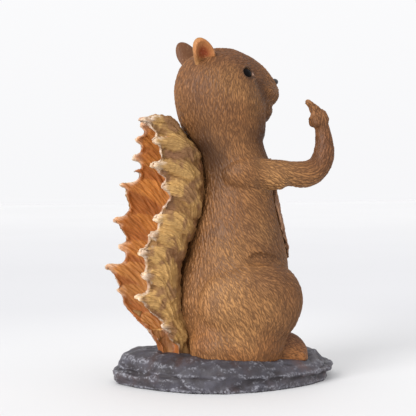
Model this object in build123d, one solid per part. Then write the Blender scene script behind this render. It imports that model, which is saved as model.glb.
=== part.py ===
from build123d import *
import math
import os

# Squirrel figurine: painted castings glued over dowels and pins on a rock-shaped base.
# Millimetres. +Z is up, the squirrel faces -Y and its right side is -X.
# The origin is on the base's underside, below the squirrel's spine.

# Rock base
BASE_LENGTH = 127.0
BASE_WIDTH = 84.0
BASE_FORWARD = 7.0
BASE_ASIDE = 3.0
WAIST_HEIGHT = 7.0
FOOT_INSET = 3.0
GULLY_INSET = 2.4
SHOULDER_INSET = 2.0
TOP_INSET = 6.0
ROCK_CHIP = 1.4
END_SLOPE = 2.2
SEAT_HEIGHT = 16.5
SEAT_TILT = 3.6
SHOULDER_SHARE = 0.76
GULLY_SHARE = 0.5
FELT_RECESS = 1.2
FELT_MARGIN = 5.0

# Torso and haunches
NECK_HEIGHT = 136.0
TORSO_WIDTH = 58.0
TORSO_DEPTH = 67.0
HAUNCH_WIDTH = 35.0
HAUNCH_LENGTH = 61.0
HAUNCH_HEIGHT = 52.0
HAUNCH_SPREAD_SHARE = 0.638
HAUNCH_FORWARD_SHARE = 0.164
HAUNCH_LEVEL_SHARE = 0.3456
RUMP_WIDTH = 36.0
RUMP_LENGTH = 54.0
RUMP_HEIGHT = 40.0
RUMP_SPREAD_SHARE = 0.48
RUMP_FORWARD_SHARE = 0.075
RUMP_LEVEL_SHARE = 0.162

# Belly fur panel
BELLY_THICKNESS = 2.0
BELLY_WIDTH = 30.0
BELLY_FORWARD = 12.0

# Head
HEAD_HEIGHT = 51.3
HEAD_WIDTH = 48.4
HEAD_DEPTH = 51.0
MUZZLE_REACH = 34.6
JAW_WIDTH = 19.0
JAW_LENGTH = 24.8
JAW_HEIGHT = 13.0
JAW_INSET = 2.8
JAW_LEVEL_SHARE = 0.2924
EYE_DIAMETER = 6.6
EYE_SPREAD_SHARE = 0.7355
EYE_FORWARD_SHARE = 0.263
EYE_LEVEL_SHARE = 0.7096
NOSE_WIDTH = 6.0
NOSE_LENGTH = 4.4
NOSE_HEIGHT = 3.8
NOSE_INSET = 2.0
NOSE_LEVEL_SHARE = 0.643

# Ears
EAR_LENGTH = 19.6
EAR_WIDTH = 13.0
EAR_THICKNESS = 4.8
EAR_RIM = 1.3
EAR_SPREAD_SHARE = 0.558
EAR_BACK_SHARE = 0.259
EAR_LEVEL_SHARE = 0.8967
EAR_TILT = 16.0
EAR_LEAN = 12.0

# Shoulders
SHOULDER_WIDTH = 21.0
SHOULDER_LENGTH = 29.0
SHOULDER_HEIGHT = 22.0
SHOULDER_SPREAD_SHARE = 0.517
SHOULDER_FORWARD_SHARE = 0.142
SHOULDER_LEVEL_SHARE = 0.86
STUB_SWELL = 1.12

# Raised right arm
ARM_REACH = 44.7
ARM_GIRTH = 15.6
PALM_WIDTH = 9.6
PALM_LENGTH = 9.6
PALM_RISE_SHARE = 0.25
KNUCKLE_DIAMETER = 4.2
KNUCKLE_LENGTH = 6.4
KNUCKLE_DROP_SHARE = 0.33
FINGER_DIAMETER = 4.2
FINGER_LENGTH = 9.6
FINGER_RISE = 46.0

# Resting left arm
PAW_REACH = 26.5
LEFT_ARM_GIRTH = 14.0
PAW_WIDTH = 9.0
PAW_LENGTH = 12.0
PAW_THICKNESS = 6.4

# Feet
FOOT_LENGTH = 32.0
FOOT_WIDTH = 13.6
FOOT_HEIGHT = 12.0
FOOT_SPREAD = 28.0
FOOT_TUCK = 4.0
TOE_WIDTH = 3.9
TOE_LENGTH = 9.0
TOE_HEIGHT = 7.0
TOE_COUNT = 4
TOE_FAN_SHARE = 0.5

# Tail
TAIL_RISE = 14.5
TAIL_DEPTH = 62.0
TAIL_WIDTH = 40.0
TAIL_WALL = 3.2
LOCK_WIDTH = 9.0
LOCK_RELIEF = 1.8
TAIL_PIN_SPREAD = 5.6
TAIL_PIN_INSET = 3.1
TAIL_ROOT_SHARE = 0.25

# Dowels, pins and glue
NECK_DOWEL_DIAMETER = 8.0
NECK_DOWEL_LENGTH = 18.0
PIN_DIAMETER = 3.0
PIN_LENGTH = 16.0
BASE_DOWEL_DIAMETER = 5.0
BASE_DOWEL_LENGTH = 16.0
FRONT_DOWEL_INSET = 9.5
REAR_DOWEL_BACK = 5.0
GLUE_GAP = 0.1
OVERRUN = 6.0

# The rock's plan outline: across and along, as shares of half its width and half its length.
ROCK_SHARES = [
    (0.26, 1.00), (-0.12, 0.91), (-0.48, 0.76), (-0.79, 0.57), (-0.98, 0.30), (-1.00, 0.03),
    (-0.93, -0.19), (-0.79, -0.43), (-0.62, -0.63), (-0.38, -0.81), (-0.02, -0.94), (0.36, -1.00),
    (0.67, -0.93), (0.86, -0.70), (0.95, -0.37), (1.00, 0.01), (0.98, 0.37), (0.83, 0.67),
    (0.62, 0.90),
]
# How far the rock is chipped at each point of its outline, as shares of ROCK_CHIP: at its waist, at
# the gully above it and at its shoulder.
CHIP_SHARES = [
    (0.0, 0.6, 0.9), (0.3, 0.1, 0.5), (0.1, 1.0, 0.0), (0.8, 0.4, 0.9), (0.2, 0.9, 0.1), (0.0, 0.3, 0.8),
    (0.6, 1.0, 0.2), (0.1, 0.2, 0.7), (0.9, 0.8, 0.1), (0.2, 0.4, 1.0), (0.3, 0.8, 0.3), (0.0, 0.2, 0.8),
    (0.3, 0.9, 0.1), (0.1, 0.3, 0.9), (0.7, 1.0, 0.2), (0.0, 0.4, 0.7), (0.6, 0.9, 0.0), (0.1, 0.2, 1.0),
    (0.2, 0.7, 0.4),
]
# Torso rings: height as a share of NECK_HEIGHT, middle and half depth as shares of TORSO_DEPTH,
# and half width as a share of TORSO_WIDTH.
TORSO_SHARES = [
    (0.060, -0.130, 0.400, 0.430), (0.130, -0.140, 0.430, 0.465), (0.250, -0.120, 0.480, 0.490),
    (0.370, -0.105, 0.500, 0.500), (0.490, -0.124, 0.460, 0.483), (0.620, -0.138, 0.399, 0.440),
    (0.720, -0.143, 0.345, 0.405), (0.820, -0.144, 0.308, 0.380), (0.900, -0.121, 0.304, 0.362),
    (0.955, -0.075, 0.313, 0.350), (1.000, -0.026, 0.340, 0.353),
]
# Head rings above the neck joint: height, middle, half depth and half width, as shares of the
# head's height, depth, depth and width.
HEAD_SHARES = [
    (0.130, -0.040, 0.470, 0.450), (0.250, -0.020, 0.486, 0.480), (0.410, 0.000, 0.498, 0.500),
    (0.565, 0.020, 0.486, 0.492), (0.700, 0.030, 0.447, 0.450), (0.820, 0.020, 0.398, 0.382),
    (0.915, -0.010, 0.304, 0.269), (0.980, -0.020, 0.157, 0.124), (1.000, -0.020, 0.060, 0.040),
]
# Muzzle rings: reach as a share of MUZZLE_REACH, level and half height as shares of HEAD_HEIGHT,
# and half width as a share of HEAD_WIDTH.
MUZZLE_SHARES = [
    (-0.110, 0.585, 0.370, 0.413), (0.280, 0.594, 0.360, 0.382), (0.530, 0.585, 0.318, 0.320),
    (0.683, 0.571, 0.263, 0.258), (0.805, 0.552, 0.207, 0.202), (0.930, 0.522, 0.129, 0.136),
    (1.000, 0.507, 0.050, 0.062),
]
# Raised arm, joint to wrist: X as a share of TORSO_WIDTH, reach before the shoulder as a share of
# ARM_REACH, height as a share of NECK_HEIGHT and radius as a share of ARM_GIRTH.
RAISED_ARM_SHARES = [
    (-0.338, 0.454, 0.858, 0.530), (-0.355, 0.660, 0.859, 0.475), (-0.365, 0.867, 0.876, 0.450),
    (-0.367, 0.982, 0.930, 0.400), (-0.362, 1.000, 0.985, 0.350), (-0.357, 0.982, 1.036, 0.290),
    (-0.352, 0.958, 1.066, 0.270),
]
# Resting arm, joint to wrist, in the same way with PAW_REACH and LEFT_ARM_GIRTH.
RESTING_ARM_SHARES = [
    (0.385, 0.036, 0.800, 0.590), (0.445, 0.158, 0.740, 0.515), (0.450, 0.457, 0.690, 0.445),
    (0.355, 0.810, 0.670, 0.380), (0.240, 1.000, 0.675, 0.330),
]
# Tail rings: height as a share of the tail's height, front as a share of TORSO_DEPTH, because the
# tail follows the back, and half width as a share of TAIL_WIDTH.
TAIL_SHARES = [
    (0.080, 0.231, 0.210), (0.207, 0.302, 0.300), (0.328, 0.375, 0.425), (0.448, 0.367, 0.475),
    (0.575, 0.254, 0.500), (0.702, 0.171, 0.475), (0.816, 0.180, 0.437), (0.890, 0.231, 0.375),
    (0.957, 0.361, 0.250), (0.987, 0.463, 0.170), (1.000, 0.537, 0.110),
]
TAIL_HOLLOW_START = 1
TAIL_HOLLOW_END = 9
# One tail ring from lip to lip: across as a share of its half width, and back from its front as a
# share of what is left of TAIL_DEPTH.
TAIL_RING_SHARES = [
    (-1.10, 1.00), (-1.02, 0.62), (-0.94, 0.34), (-0.60, 0.08), (0.00, 0.00),
    (0.60, 0.08), (0.94, 0.34), (1.02, 0.62), (1.10, 1.00),
]
# Locks of fur along the tail's lips, root to top: back and up, as shares of TAIL_DEPTH, where the
# front of the tail's root is at TAIL_ROOT_SHARE, and of the tail's height.
RIGHT_LIP_SHARES = [
    (0.440, 0.080), (0.430, 0.165), (0.545, 0.207), (0.600, 0.235), (0.710, 0.280), (0.780, 0.326),
    (0.863, 0.342), (0.773, 0.369), (0.800, 0.447), (0.830, 0.497), (0.823, 0.522), (0.752, 0.552),
    (0.724, 0.576), (0.668, 0.584), (0.697, 0.617), (0.655, 0.655), (0.565, 0.702), (0.626, 0.738),
    (0.605, 0.760), (0.682, 0.781), (0.710, 0.817), (0.647, 0.833), (0.653, 0.870), (0.685, 0.907),
    (0.653, 0.916), (0.700, 0.940), (0.770, 0.964), (0.650, 0.998), (0.560, 1.030),
]
LEFT_LIP_SHARES = [
    (0.500, 0.080), (0.540, 0.126), (0.573, 0.158), (0.660, 0.200), (0.775, 0.250), (0.858, 0.297),
    (0.885, 0.355), (0.930, 0.396), (1.000, 0.431), (0.820, 0.463), (0.827, 0.498), (0.813, 0.544),
    (0.884, 0.585), (0.906, 0.607), (0.776, 0.648), (0.811, 0.693), (0.840, 0.739), (0.718, 0.745),
    (0.690, 0.779), (0.760, 0.788), (0.680, 0.801), (0.710, 0.843), (0.693, 0.871), (0.720, 0.915),
    (0.670, 0.935), (0.665, 0.962), (0.630, 0.990), (0.560, 1.030),
]
# Raised locks on the tail's two outer faces: back and up at the root, then at the tip, in the same
# shares as the lips.
RIGHT_LOCK_SHARES = [
    (0.391, 0.943, 0.678, 0.978), (0.308, 0.863, 0.688, 0.899), (0.300, 0.760, 0.696, 0.812),
    (0.300, 0.656, 0.624, 0.733), (0.360, 0.566, 0.691, 0.623), (0.450, 0.500, 0.745, 0.566),
    (0.520, 0.403, 0.826, 0.502), (0.497, 0.317, 0.796, 0.418), (0.471, 0.248, 0.848, 0.339),
    (0.360, 0.162, 0.575, 0.228),
]
LEFT_LOCK_SHARES = [
    (0.360, 0.890, 0.650, 0.958), (0.310, 0.800, 0.690, 0.905), (0.300, 0.710, 0.700, 0.838),
    (0.310, 0.610, 0.800, 0.735), (0.380, 0.520, 0.860, 0.605), (0.450, 0.430, 0.810, 0.505),
    (0.500, 0.330, 0.940, 0.432), (0.480, 0.240, 0.840, 0.345), (0.420, 0.160, 0.640, 0.240),
]
# The belly panel's half outline, top to bottom: across as a share of half its width, and height as
# a share of NECK_HEIGHT.
BELLY_SHARES = [
    (0.00, 0.925), (0.50, 0.910), (0.68, 0.850), (0.92, 0.750), (0.95, 0.640), (0.62, 0.545),
    (0.00, 0.505),
]
# Curled fingers on the raised fist: across as a share of the palm's width.
KNUCKLE_SHARES = [-0.32, 0.0, 0.32]

RING_POINTS = 16
UP = (0, 0, 1)
TAIL_HEIGHT = NECK_HEIGHT + TAIL_RISE
SEAT = Plane(origin=(0, 0, SEAT_HEIGHT)).rotated((SEAT_TILT, 0, 0))


def seat_height(y):
    """Height of the rock's sloping seat at a place along the squirrel."""
    return SEAT_HEIGHT + y * math.tan(math.radians(SEAT_TILT))


def torso_front():
    """How far the torso reaches forwards, as a place on Y, where it stands on the seat."""
    height, middle, depth, width = TORSO_SHARES[0]
    return (middle - depth) * TORSO_DEPTH


def oval(plane, half_width, half_depth):
    """A closed smooth ring, always started on the same side so that lofts don't twist."""
    turn = 2 * math.pi / RING_POINTS
    points = [
        plane.from_local_coords((half_width * math.cos(i * turn), half_depth * math.sin(i * turn)))
        for i in range(RING_POINTS)
    ]
    return Wire([Edge.make_spline(points, periodic=True)])


def ellipsoid(centre, sizes, turn=(0, 0, 0)):
    """An egg-like solid of three full sizes, turned about its centre."""
    halves = tuple(size / 2 for size in sizes)
    return Pos(*centre) * Rot(*turn) * scale(Sphere(1), by=halves)


def rod(centre, direction, diameter, length):
    """A round rod or hole with its middle at a point."""
    start = Vector(*centre) - Vector(*direction).normalized() * (length / 2)
    return extrude(Plane(origin=start, z_dir=direction) * Circle(diameter / 2), length)


def bore(centre, direction, diameter, length):
    """The hole for a rod, larger than it by the glue gap all round."""
    return rod(centre, direction, diameter + 2 * GLUE_GAP, length + 2 * GLUE_GAP)


def above_seat(shape):
    """The part of a shape that stands above the rock's seat."""
    return split(shape, bisect_by=SEAT, keep=Keep.TOP)


class Limb:
    """A shoulder cast with the body, and a tapering arm that is joined to it by a pin."""

    def __init__(self, side, shares, reach, girth):
        spread = side * SHOULDER_SPREAD_SHARE * TORSO_WIDTH
        forward = SHOULDER_FORWARD_SHARE * TORSO_DEPTH
        self.shoulder = Vector(spread / 2, -forward, SHOULDER_LEVEL_SHARE * NECK_HEIGHT)
        self.points = [
            Vector(x * TORSO_WIDTH, -forward - y * reach, z * NECK_HEIGHT)
            for x, y, z, radius in shares
        ]
        self.radii = [radius * girth for x, y, z, radius in shares]
        self.joint = self.points[0]
        self.axis = (self.joint - self.shoulder).normalized()
        self.end = self.points[-1]
        path = Edge.make_spline(self.points, tangents=[self.axis, self.points[-1] - self.points[-2]])
        rings = []
        for point, radius in zip(self.points, self.radii):
            along = path.tangent_at(path.param_at_point(point))
            rings.append(oval(Plane(origin=point, x_dir=(1, 0, 0), z_dir=along), radius, radius))
        self.arm = Solid.make_loft(rings)

    def stub(self):
        """The shoulder and the start of the upper arm, up to the joint."""
        length = (self.joint - self.shoulder).length
        cone = Cone(
            self.radii[0] * STUB_SWELL, self.radii[0], length,
            align=(Align.CENTER, Align.CENTER, Align.MIN),
        )
        sizes = (SHOULDER_WIDTH, SHOULDER_LENGTH, SHOULDER_HEIGHT)
        return ellipsoid(self.shoulder, sizes) + Plane(origin=self.shoulder, z_dir=self.axis) * cone

    def pin(self):
        """The pin across the joint."""
        return rod(self.joint, self.axis, PIN_DIAMETER, PIN_LENGTH)

    def pin_bore(self):
        """The hole for the pin, in both castings."""
        return bore(self.joint, self.axis, PIN_DIAMETER, PIN_LENGTH)


def rock_ring(inset, level, chip=None):
    """One closed ring of the rock. Its level follows the place along the rock, and where a column of
    CHIP_SHARES is given, its points are chipped inwards."""
    points = []
    for (across, along), chips in zip(ROCK_SHARES, CHIP_SHARES):
        depth = 0 if chip is None else chips[chip] * ROCK_CHIP
        x = BASE_ASIDE + across * (BASE_WIDTH / 2 - inset - depth)
        y = -BASE_FORWARD + along * (BASE_LENGTH / 2 - END_SLOPE * inset - depth)
        points.append(Vector(x, y, level(y)))
    return Wire.make_polygon(points, close=True)


def floor_level(y):
    """The level of the rock's underside."""
    return 0


def side_level(share):
    """A level on the rock's side, from its waist at 0 to its shoulder at 1."""
    def level(y):
        return WAIST_HEIGHT + share * (SHOULDER_SHARE * seat_height(y) - WAIST_HEIGHT)
    return level


def base_dowel_places():
    """Where the two dowels between the rock and the body stand."""
    places = [(0, torso_front() + FRONT_DOWEL_INSET), (0, REAR_DOWEL_BACK)]
    return [(x, y, seat_height(y)) for x, y in places]


def tail_front(index):
    """The front of one tail ring, as a place on Y. It follows the torso's back."""
    height, front, width = TAIL_SHARES[index]
    return front * TORSO_DEPTH


def tail_back(share):
    """A place on Y behind the tail's front, from its root's front to its rearmost lock."""
    return tail_front(0) + (share - TAIL_ROOT_SHARE) * TAIL_DEPTH


def tail_pin_places():
    """Where the two pins under the tail's root stand."""
    y = tail_front(TAIL_HOLLOW_START) + TAIL_PIN_INSET
    return [(side * TAIL_PIN_SPREAD / 2, y, seat_height(y)) for side in (-1, 1)]


def rock_base():
    """The rock, with a felt recess below and holes for the dowels and the tail's pins."""
    foot = rock_ring(FOOT_INSET, floor_level)
    waist = rock_ring(0, side_level(0), 0)
    gully = rock_ring(GULLY_INSET, side_level(GULLY_SHARE), 1)
    shoulder = rock_ring(SHOULDER_INSET, side_level(1), 2)
    top = rock_ring(TOP_INSET, seat_height)
    rock = Solid.make_loft([foot, waist, gully, shoulder, top], True)
    recess = extrude(Face(rock_ring(FOOT_INSET + FELT_MARGIN, floor_level)), FELT_RECESS, dir=UP)
    rock -= recess
    for place in base_dowel_places():
        rock -= bore(place, UP, BASE_DOWEL_DIAMETER, BASE_DOWEL_LENGTH)
    for place in tail_pin_places():
        rock -= bore(place, UP, PIN_DIAMETER, PIN_LENGTH)
    return rock


def base_felt():
    """The felt sheet in the rock's recess, level with its rim."""
    outline = Face(rock_ring(FOOT_INSET + FELT_MARGIN + GLUE_GAP, floor_level))
    return extrude(outline, FELT_RECESS - GLUE_GAP, dir=UP)


def torso_ring(index, grow=0):
    """One level ring of the torso, grown outwards by a distance."""
    height, middle, depth, width = TORSO_SHARES[index]
    plane = Plane(origin=(0, middle * TORSO_DEPTH, height * NECK_HEIGHT))
    return oval(plane, width * TORSO_WIDTH + grow, depth * TORSO_DEPTH + grow)


def torso(grow=0):
    """The torso from below the seat to the neck joint."""
    return Solid.make_loft([torso_ring(i, grow) for i in range(len(TORSO_SHARES))])


def haunch(side):
    """One thigh, side -1 for the right and 1 for the left."""
    centre = (
        side * HAUNCH_SPREAD_SHARE * TORSO_WIDTH / 2,
        -HAUNCH_FORWARD_SHARE * TORSO_DEPTH,
        HAUNCH_LEVEL_SHARE * NECK_HEIGHT,
    )
    return ellipsoid(centre, (HAUNCH_WIDTH, HAUNCH_LENGTH, HAUNCH_HEIGHT))


def rump(side):
    """The broad seat under one thigh."""
    centre = (
        side * RUMP_SPREAD_SHARE * TORSO_WIDTH / 2,
        -RUMP_FORWARD_SHARE * TORSO_DEPTH,
        RUMP_LEVEL_SHARE * NECK_HEIGHT,
    )
    return ellipsoid(centre, (RUMP_WIDTH, RUMP_LENGTH, RUMP_HEIGHT))


def tail_ring(index, grow):
    """One level ring of the tail, closed across its lips, grown outwards or inwards."""
    height, front, width = TAIL_SHARES[index]
    start = tail_front(index) - grow
    depth = tail_back(1) + OVERRUN - start
    half = width * TAIL_WIDTH + grow
    level = height * TAIL_HEIGHT
    points = [Vector(across * half, start + back * depth, level) for across, back in TAIL_RING_SHARES]
    return Wire([Edge.make_spline(points), Edge.make_line(points[-1], points[0])])


def tail_envelope(grow):
    """The tail's whole outer shape, not yet hollow or trimmed to its lips."""
    return Solid.make_loft([tail_ring(i, grow) for i in range(len(TAIL_SHARES))])


def behind_lip(shares, side):
    """All that lies behind one lip's locks, on its own side of the spine."""
    lip = [(tail_back(back), up * TAIL_HEIGHT) for back, up in shares]
    far = tail_back(1) + 2 * OVERRUN
    outline = lip + [(far, lip[-1][1]), (far, lip[0][1])]
    face = Face(Wire.make_polygon([Vector(0, y, z) for y, z in outline], close=True))
    return extrude(face, TAIL_WIDTH, dir=(side, 0, 0))


def between(rows, value, column):
    """A column of a table at a value between its rows, which rise in their first column."""
    for low, high in zip(rows, rows[1:]):
        if value <= high[0]:
            part = (value - low[0]) / (high[0] - low[0])
            return low[column] + part * (high[column] - low[column])
    return rows[-1][column]


def on_tail(side, back, up):
    """A point of the tail's outer face, side -1 for the right and 1 for the left."""
    y = tail_back(back)
    front = between(TAIL_SHARES, up, 1) * TORSO_DEPTH
    half = between(TAIL_SHARES, up, 2) * TAIL_WIDTH
    depth = tail_back(1) + OVERRUN - front
    wall = [(far, across) for across, far in TAIL_RING_SHARES if across >= 0]
    return Vector(side * half * between(wall, (y - front) / depth, 1), y, up * TAIL_HEIGHT)


def tail_lock(side, row):
    """One raised lock that runs from its root to a lip of the tail."""
    root_back, root_up, tip_back, tip_up = row
    root = on_tail(side, root_back, root_up)
    tip = on_tail(side, tip_back, tip_up)
    middle = on_tail(side, (root_back + tip_back) / 2, (root_up + tip_up) / 2)
    along = tip - root
    sideways = Vector(side, 0, 0)
    outward = along.cross(sideways).cross(along)
    plane = Plane(origin=middle, x_dir=along, z_dir=outward)
    return plane * scale(Sphere(1), by=(along.length / 2, LOCK_WIDTH / 2, LOCK_RELIEF))


def tail():
    """The tail: a hollow channel against the back, open to the rear between its two lips, with raised
    locks on its outer faces."""
    hollow = Solid.make_loft(
        [tail_ring(i, -TAIL_WALL) for i in range(TAIL_HOLLOW_START, TAIL_HOLLOW_END)]
    )
    shell = above_seat(tail_envelope(0)) - hollow
    shell = shell - behind_lip(RIGHT_LIP_SHARES, -1) - behind_lip(LEFT_LIP_SHARES, 1)
    shell += [tail_lock(-1, row) for row in RIGHT_LOCK_SHARES]
    shell += [tail_lock(1, row) for row in LEFT_LOCK_SHARES]
    for place in tail_pin_places():
        shell -= bore(place, UP, PIN_DIAMETER, PIN_LENGTH)
    return shell


def neck_joint():
    """The middle of the joint between the body and the head."""
    height, middle, depth, width = TORSO_SHARES[-1]
    return (0, middle * TORSO_DEPTH, height * NECK_HEIGHT)


def body(raised_arm, resting_arm):
    """Torso, haunches and shoulders in one casting, flat below and grooved for the tail."""
    solid = torso() + rump(-1) + rump(1) + haunch(-1) + haunch(1)
    solid = solid + raised_arm.stub() + resting_arm.stub()
    solid = above_seat(solid) - tail_envelope(GLUE_GAP)
    solid -= bore(neck_joint(), UP, NECK_DOWEL_DIAMETER, NECK_DOWEL_LENGTH)
    for place in base_dowel_places():
        solid -= bore(place, UP, BASE_DOWEL_DIAMETER, BASE_DOWEL_LENGTH)
    for arm in (raised_arm, resting_arm):
        solid -= arm.pin_bore()
    return solid


def belly_fur(body_solid):
    """The raised panel of longer fur down the chest and belly."""
    half = BELLY_WIDTH / 2
    right = [(-across * half, up * NECK_HEIGHT) for across, up in BELLY_SHARES]
    left = [(across * half, up * NECK_HEIGHT) for across, up in reversed(BELLY_SHARES[1:-1])]
    outline = [Vector(x, -BELLY_FORWARD, z) for x, z in right + left]
    face = Face(Wire([Edge.make_spline(outline, periodic=True)]))
    window = extrude(face, TORSO_DEPTH, dir=(0, -1, 0))
    return (torso(BELLY_THICKNESS) & window) - body_solid


def skull():
    """Neck, cheeks and crown."""
    rings = [torso_ring(-1)]
    for height, middle, depth, width in HEAD_SHARES:
        plane = Plane(origin=(0, middle * HEAD_DEPTH, NECK_HEIGHT + height * HEAD_HEIGHT))
        rings.append(oval(plane, width * HEAD_WIDTH, depth * HEAD_DEPTH))
    return Solid.make_loft(rings)


def muzzle():
    """The snout, lofted forwards from inside the skull to the tip of the nose."""
    rings = []
    for reach, level, half_height, half_width in MUZZLE_SHARES:
        centre = (0, -reach * MUZZLE_REACH, NECK_HEIGHT + level * HEAD_HEIGHT)
        plane = Plane(origin=centre, x_dir=(1, 0, 0), z_dir=(0, -1, 0))
        rings.append(oval(plane, half_width * HEAD_WIDTH, half_height * HEAD_HEIGHT))
    return Solid.make_loft(rings)


def jaw():
    """The lower jaw, below the mouth."""
    y = JAW_INSET + JAW_LENGTH / 2 - MUZZLE_REACH
    centre = (0, y, NECK_HEIGHT + JAW_LEVEL_SHARE * HEAD_HEIGHT)
    return ellipsoid(centre, (JAW_WIDTH, JAW_LENGTH, JAW_HEIGHT))


def eye(side, grow=0):
    """One glossy bead, side -1 for the right and 1 for the left."""
    place = Pos(
        side * EYE_SPREAD_SHARE * HEAD_WIDTH / 2,
        -EYE_FORWARD_SHARE * MUZZLE_REACH,
        NECK_HEIGHT + EYE_LEVEL_SHARE * HEAD_HEIGHT,
    )
    return place * Sphere(EYE_DIAMETER / 2 + grow)


def nose(grow=0):
    """The small dark nose, let into the tip of the snout."""
    sizes = (NOSE_WIDTH + 2 * grow, NOSE_LENGTH + 2 * grow, NOSE_HEIGHT + 2 * grow)
    centre = (0, NOSE_INSET - MUZZLE_REACH, NECK_HEIGHT + NOSE_LEVEL_SHARE * HEAD_HEIGHT)
    return ellipsoid(centre, sizes)


def head():
    """The head casting, with the sockets for its eyes and nose and the groove for the tail."""
    solid = skull() + muzzle() + jaw()
    solid = solid - eye(-1, GLUE_GAP) - eye(1, GLUE_GAP) - nose(GLUE_GAP)
    solid -= tail_envelope(GLUE_GAP)
    solid -= bore(neck_joint(), UP, NECK_DOWEL_DIAMETER, NECK_DOWEL_LENGTH)
    return split(solid, bisect_by=Plane(origin=neck_joint()), keep=Keep.TOP)


def right_ear(head_solid):
    """A cupped ear that leans out and back, seated on the head."""
    centre = (
        -EAR_SPREAD_SHARE * HEAD_WIDTH / 2,
        EAR_BACK_SHARE * HEAD_DEPTH,
        NECK_HEIGHT + EAR_LEVEL_SHARE * HEAD_HEIGHT,
    )
    turn = (-EAR_TILT, -EAR_LEAN, 0)
    shell = ellipsoid(centre, (EAR_THICKNESS, EAR_WIDTH, EAR_LENGTH), turn)
    cup_sizes = (EAR_THICKNESS, EAR_WIDTH - 2 * EAR_RIM, EAR_LENGTH - 2 * EAR_RIM)
    outward = Rot(*turn) * Pos(-EAR_THICKNESS / 2, 0, 0)
    offset = outward.position
    cup_centre = tuple(place + shift for place, shift in zip(centre, offset))
    return shell - ellipsoid(cup_centre, cup_sizes, turn) - head_solid


def raised_hand(arm):
    """A fist with curled fingers and the first finger held out, at the end of the raised arm."""
    centre = arm.end + Vector(0, 0, PALM_RISE_SHARE * PALM_LENGTH)
    hand = ellipsoid(centre, (PALM_WIDTH, PALM_LENGTH, PALM_LENGTH))
    for share in KNUCKLE_SHARES:
        place = (
            centre.X + share * PALM_WIDTH,
            centre.Y + KNUCKLE_LENGTH / 2,
            centre.Z - KNUCKLE_DROP_SHARE * KNUCKLE_DIAMETER,
        )
        hand += ellipsoid(place, (KNUCKLE_DIAMETER, KNUCKLE_LENGTH, KNUCKLE_LENGTH))
    rise = math.radians(FINGER_RISE)
    direction = Vector(0, math.cos(rise), math.sin(rise))
    root = Vector(centre.X, centre.Y, centre.Z + FINGER_DIAMETER / 2)
    tip = root + direction * FINGER_LENGTH
    hand += rod((root + tip) / 2, direction, FINGER_DIAMETER, FINGER_LENGTH)
    hand += Pos(*tip) * Sphere(FINGER_DIAMETER / 2)
    return hand


def right_arm(arm):
    """The raised arm from its joint to the finger tip."""
    return arm.arm + raised_hand(arm) - arm.pin_bore()


def left_arm(arm, body_solid, belly):
    """The resting arm, with its paw on the belly."""
    paw = ellipsoid(tuple(arm.end), (PAW_LENGTH, PAW_THICKNESS, PAW_WIDTH))
    return arm.arm + paw - body_solid - belly - arm.pin_bore()


def foot(side, body_solid):
    """A long hind foot with its toes, flat on the seat and fitted to the haunch."""
    x = side * FOOT_SPREAD / 2
    middle = torso_front() + FOOT_TUCK
    sizes = (FOOT_WIDTH, FOOT_LENGTH, 2 * FOOT_HEIGHT)
    solid = ellipsoid((x, middle, seat_height(middle)), sizes)
    for i in range(TOE_COUNT):
        across = (i - (TOE_COUNT - 1) / 2) * (FOOT_WIDTH - TOE_WIDTH) / (TOE_COUNT - 1)
        y = middle + (TOE_LENGTH - FOOT_LENGTH) / 2 + TOE_FAN_SHARE * abs(across)
        solid += ellipsoid((x + across, y, seat_height(y)), (TOE_WIDTH, TOE_LENGTH, TOE_HEIGHT))
    return above_seat(solid) - body_solid


def write(name, *solids):
    """Write one piece, or a group of like pieces, as its own STEP file."""
    shape = solids[0] if len(solids) == 1 else Compound(children=list(solids))
    count = len(shape.solids())
    print(name, "solids", count, "volume", round(shape.volume))
    export_step(shape, os.path.join("parts", name + ".step"))


def main():
    os.makedirs("parts", exist_ok=True)
    raised_arm = Limb(-1, RAISED_ARM_SHARES, ARM_REACH, ARM_GIRTH)
    resting_arm = Limb(1, RESTING_ARM_SHARES, PAW_REACH, LEFT_ARM_GIRTH)
    body_solid = body(raised_arm, resting_arm)
    belly = belly_fur(body_solid)
    head_solid = head()
    ear = right_ear(head_solid)

    write("rock_base", rock_base())
    write("base_felt", base_felt())
    write("body", body_solid)
    write("belly_fur", belly)
    write("head", head_solid)
    write("right_ear", ear)
    write("left_ear", mirror(ear, about=Plane.YZ))
    write("right_eye", eye(-1))
    write("left_eye", eye(1))
    write("nose", nose())
    write("right_arm", right_arm(raised_arm))
    write("left_arm", left_arm(resting_arm, body_solid, belly))
    write("right_foot", foot(-1, body_solid))
    write("left_foot", foot(1, body_solid))
    write("tail", tail())
    write("neck_dowel", rod(neck_joint(), UP, NECK_DOWEL_DIAMETER, NECK_DOWEL_LENGTH))
    write("right_arm_pin", raised_arm.pin())
    write("left_arm_pin", resting_arm.pin())
    dowels = [rod(place, UP, BASE_DOWEL_DIAMETER, BASE_DOWEL_LENGTH) for place in base_dowel_places()]
    write("base_dowels", *dowels)
    pins = [rod(place, UP, PIN_DIAMETER, PIN_LENGTH) for place in tail_pin_places()]
    write("tail_pins", *pins)


main()
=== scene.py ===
import math

import bmesh
import bpy
import numpy as np
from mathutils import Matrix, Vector, noise
from mathutils.kdtree import KDTree


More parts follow.
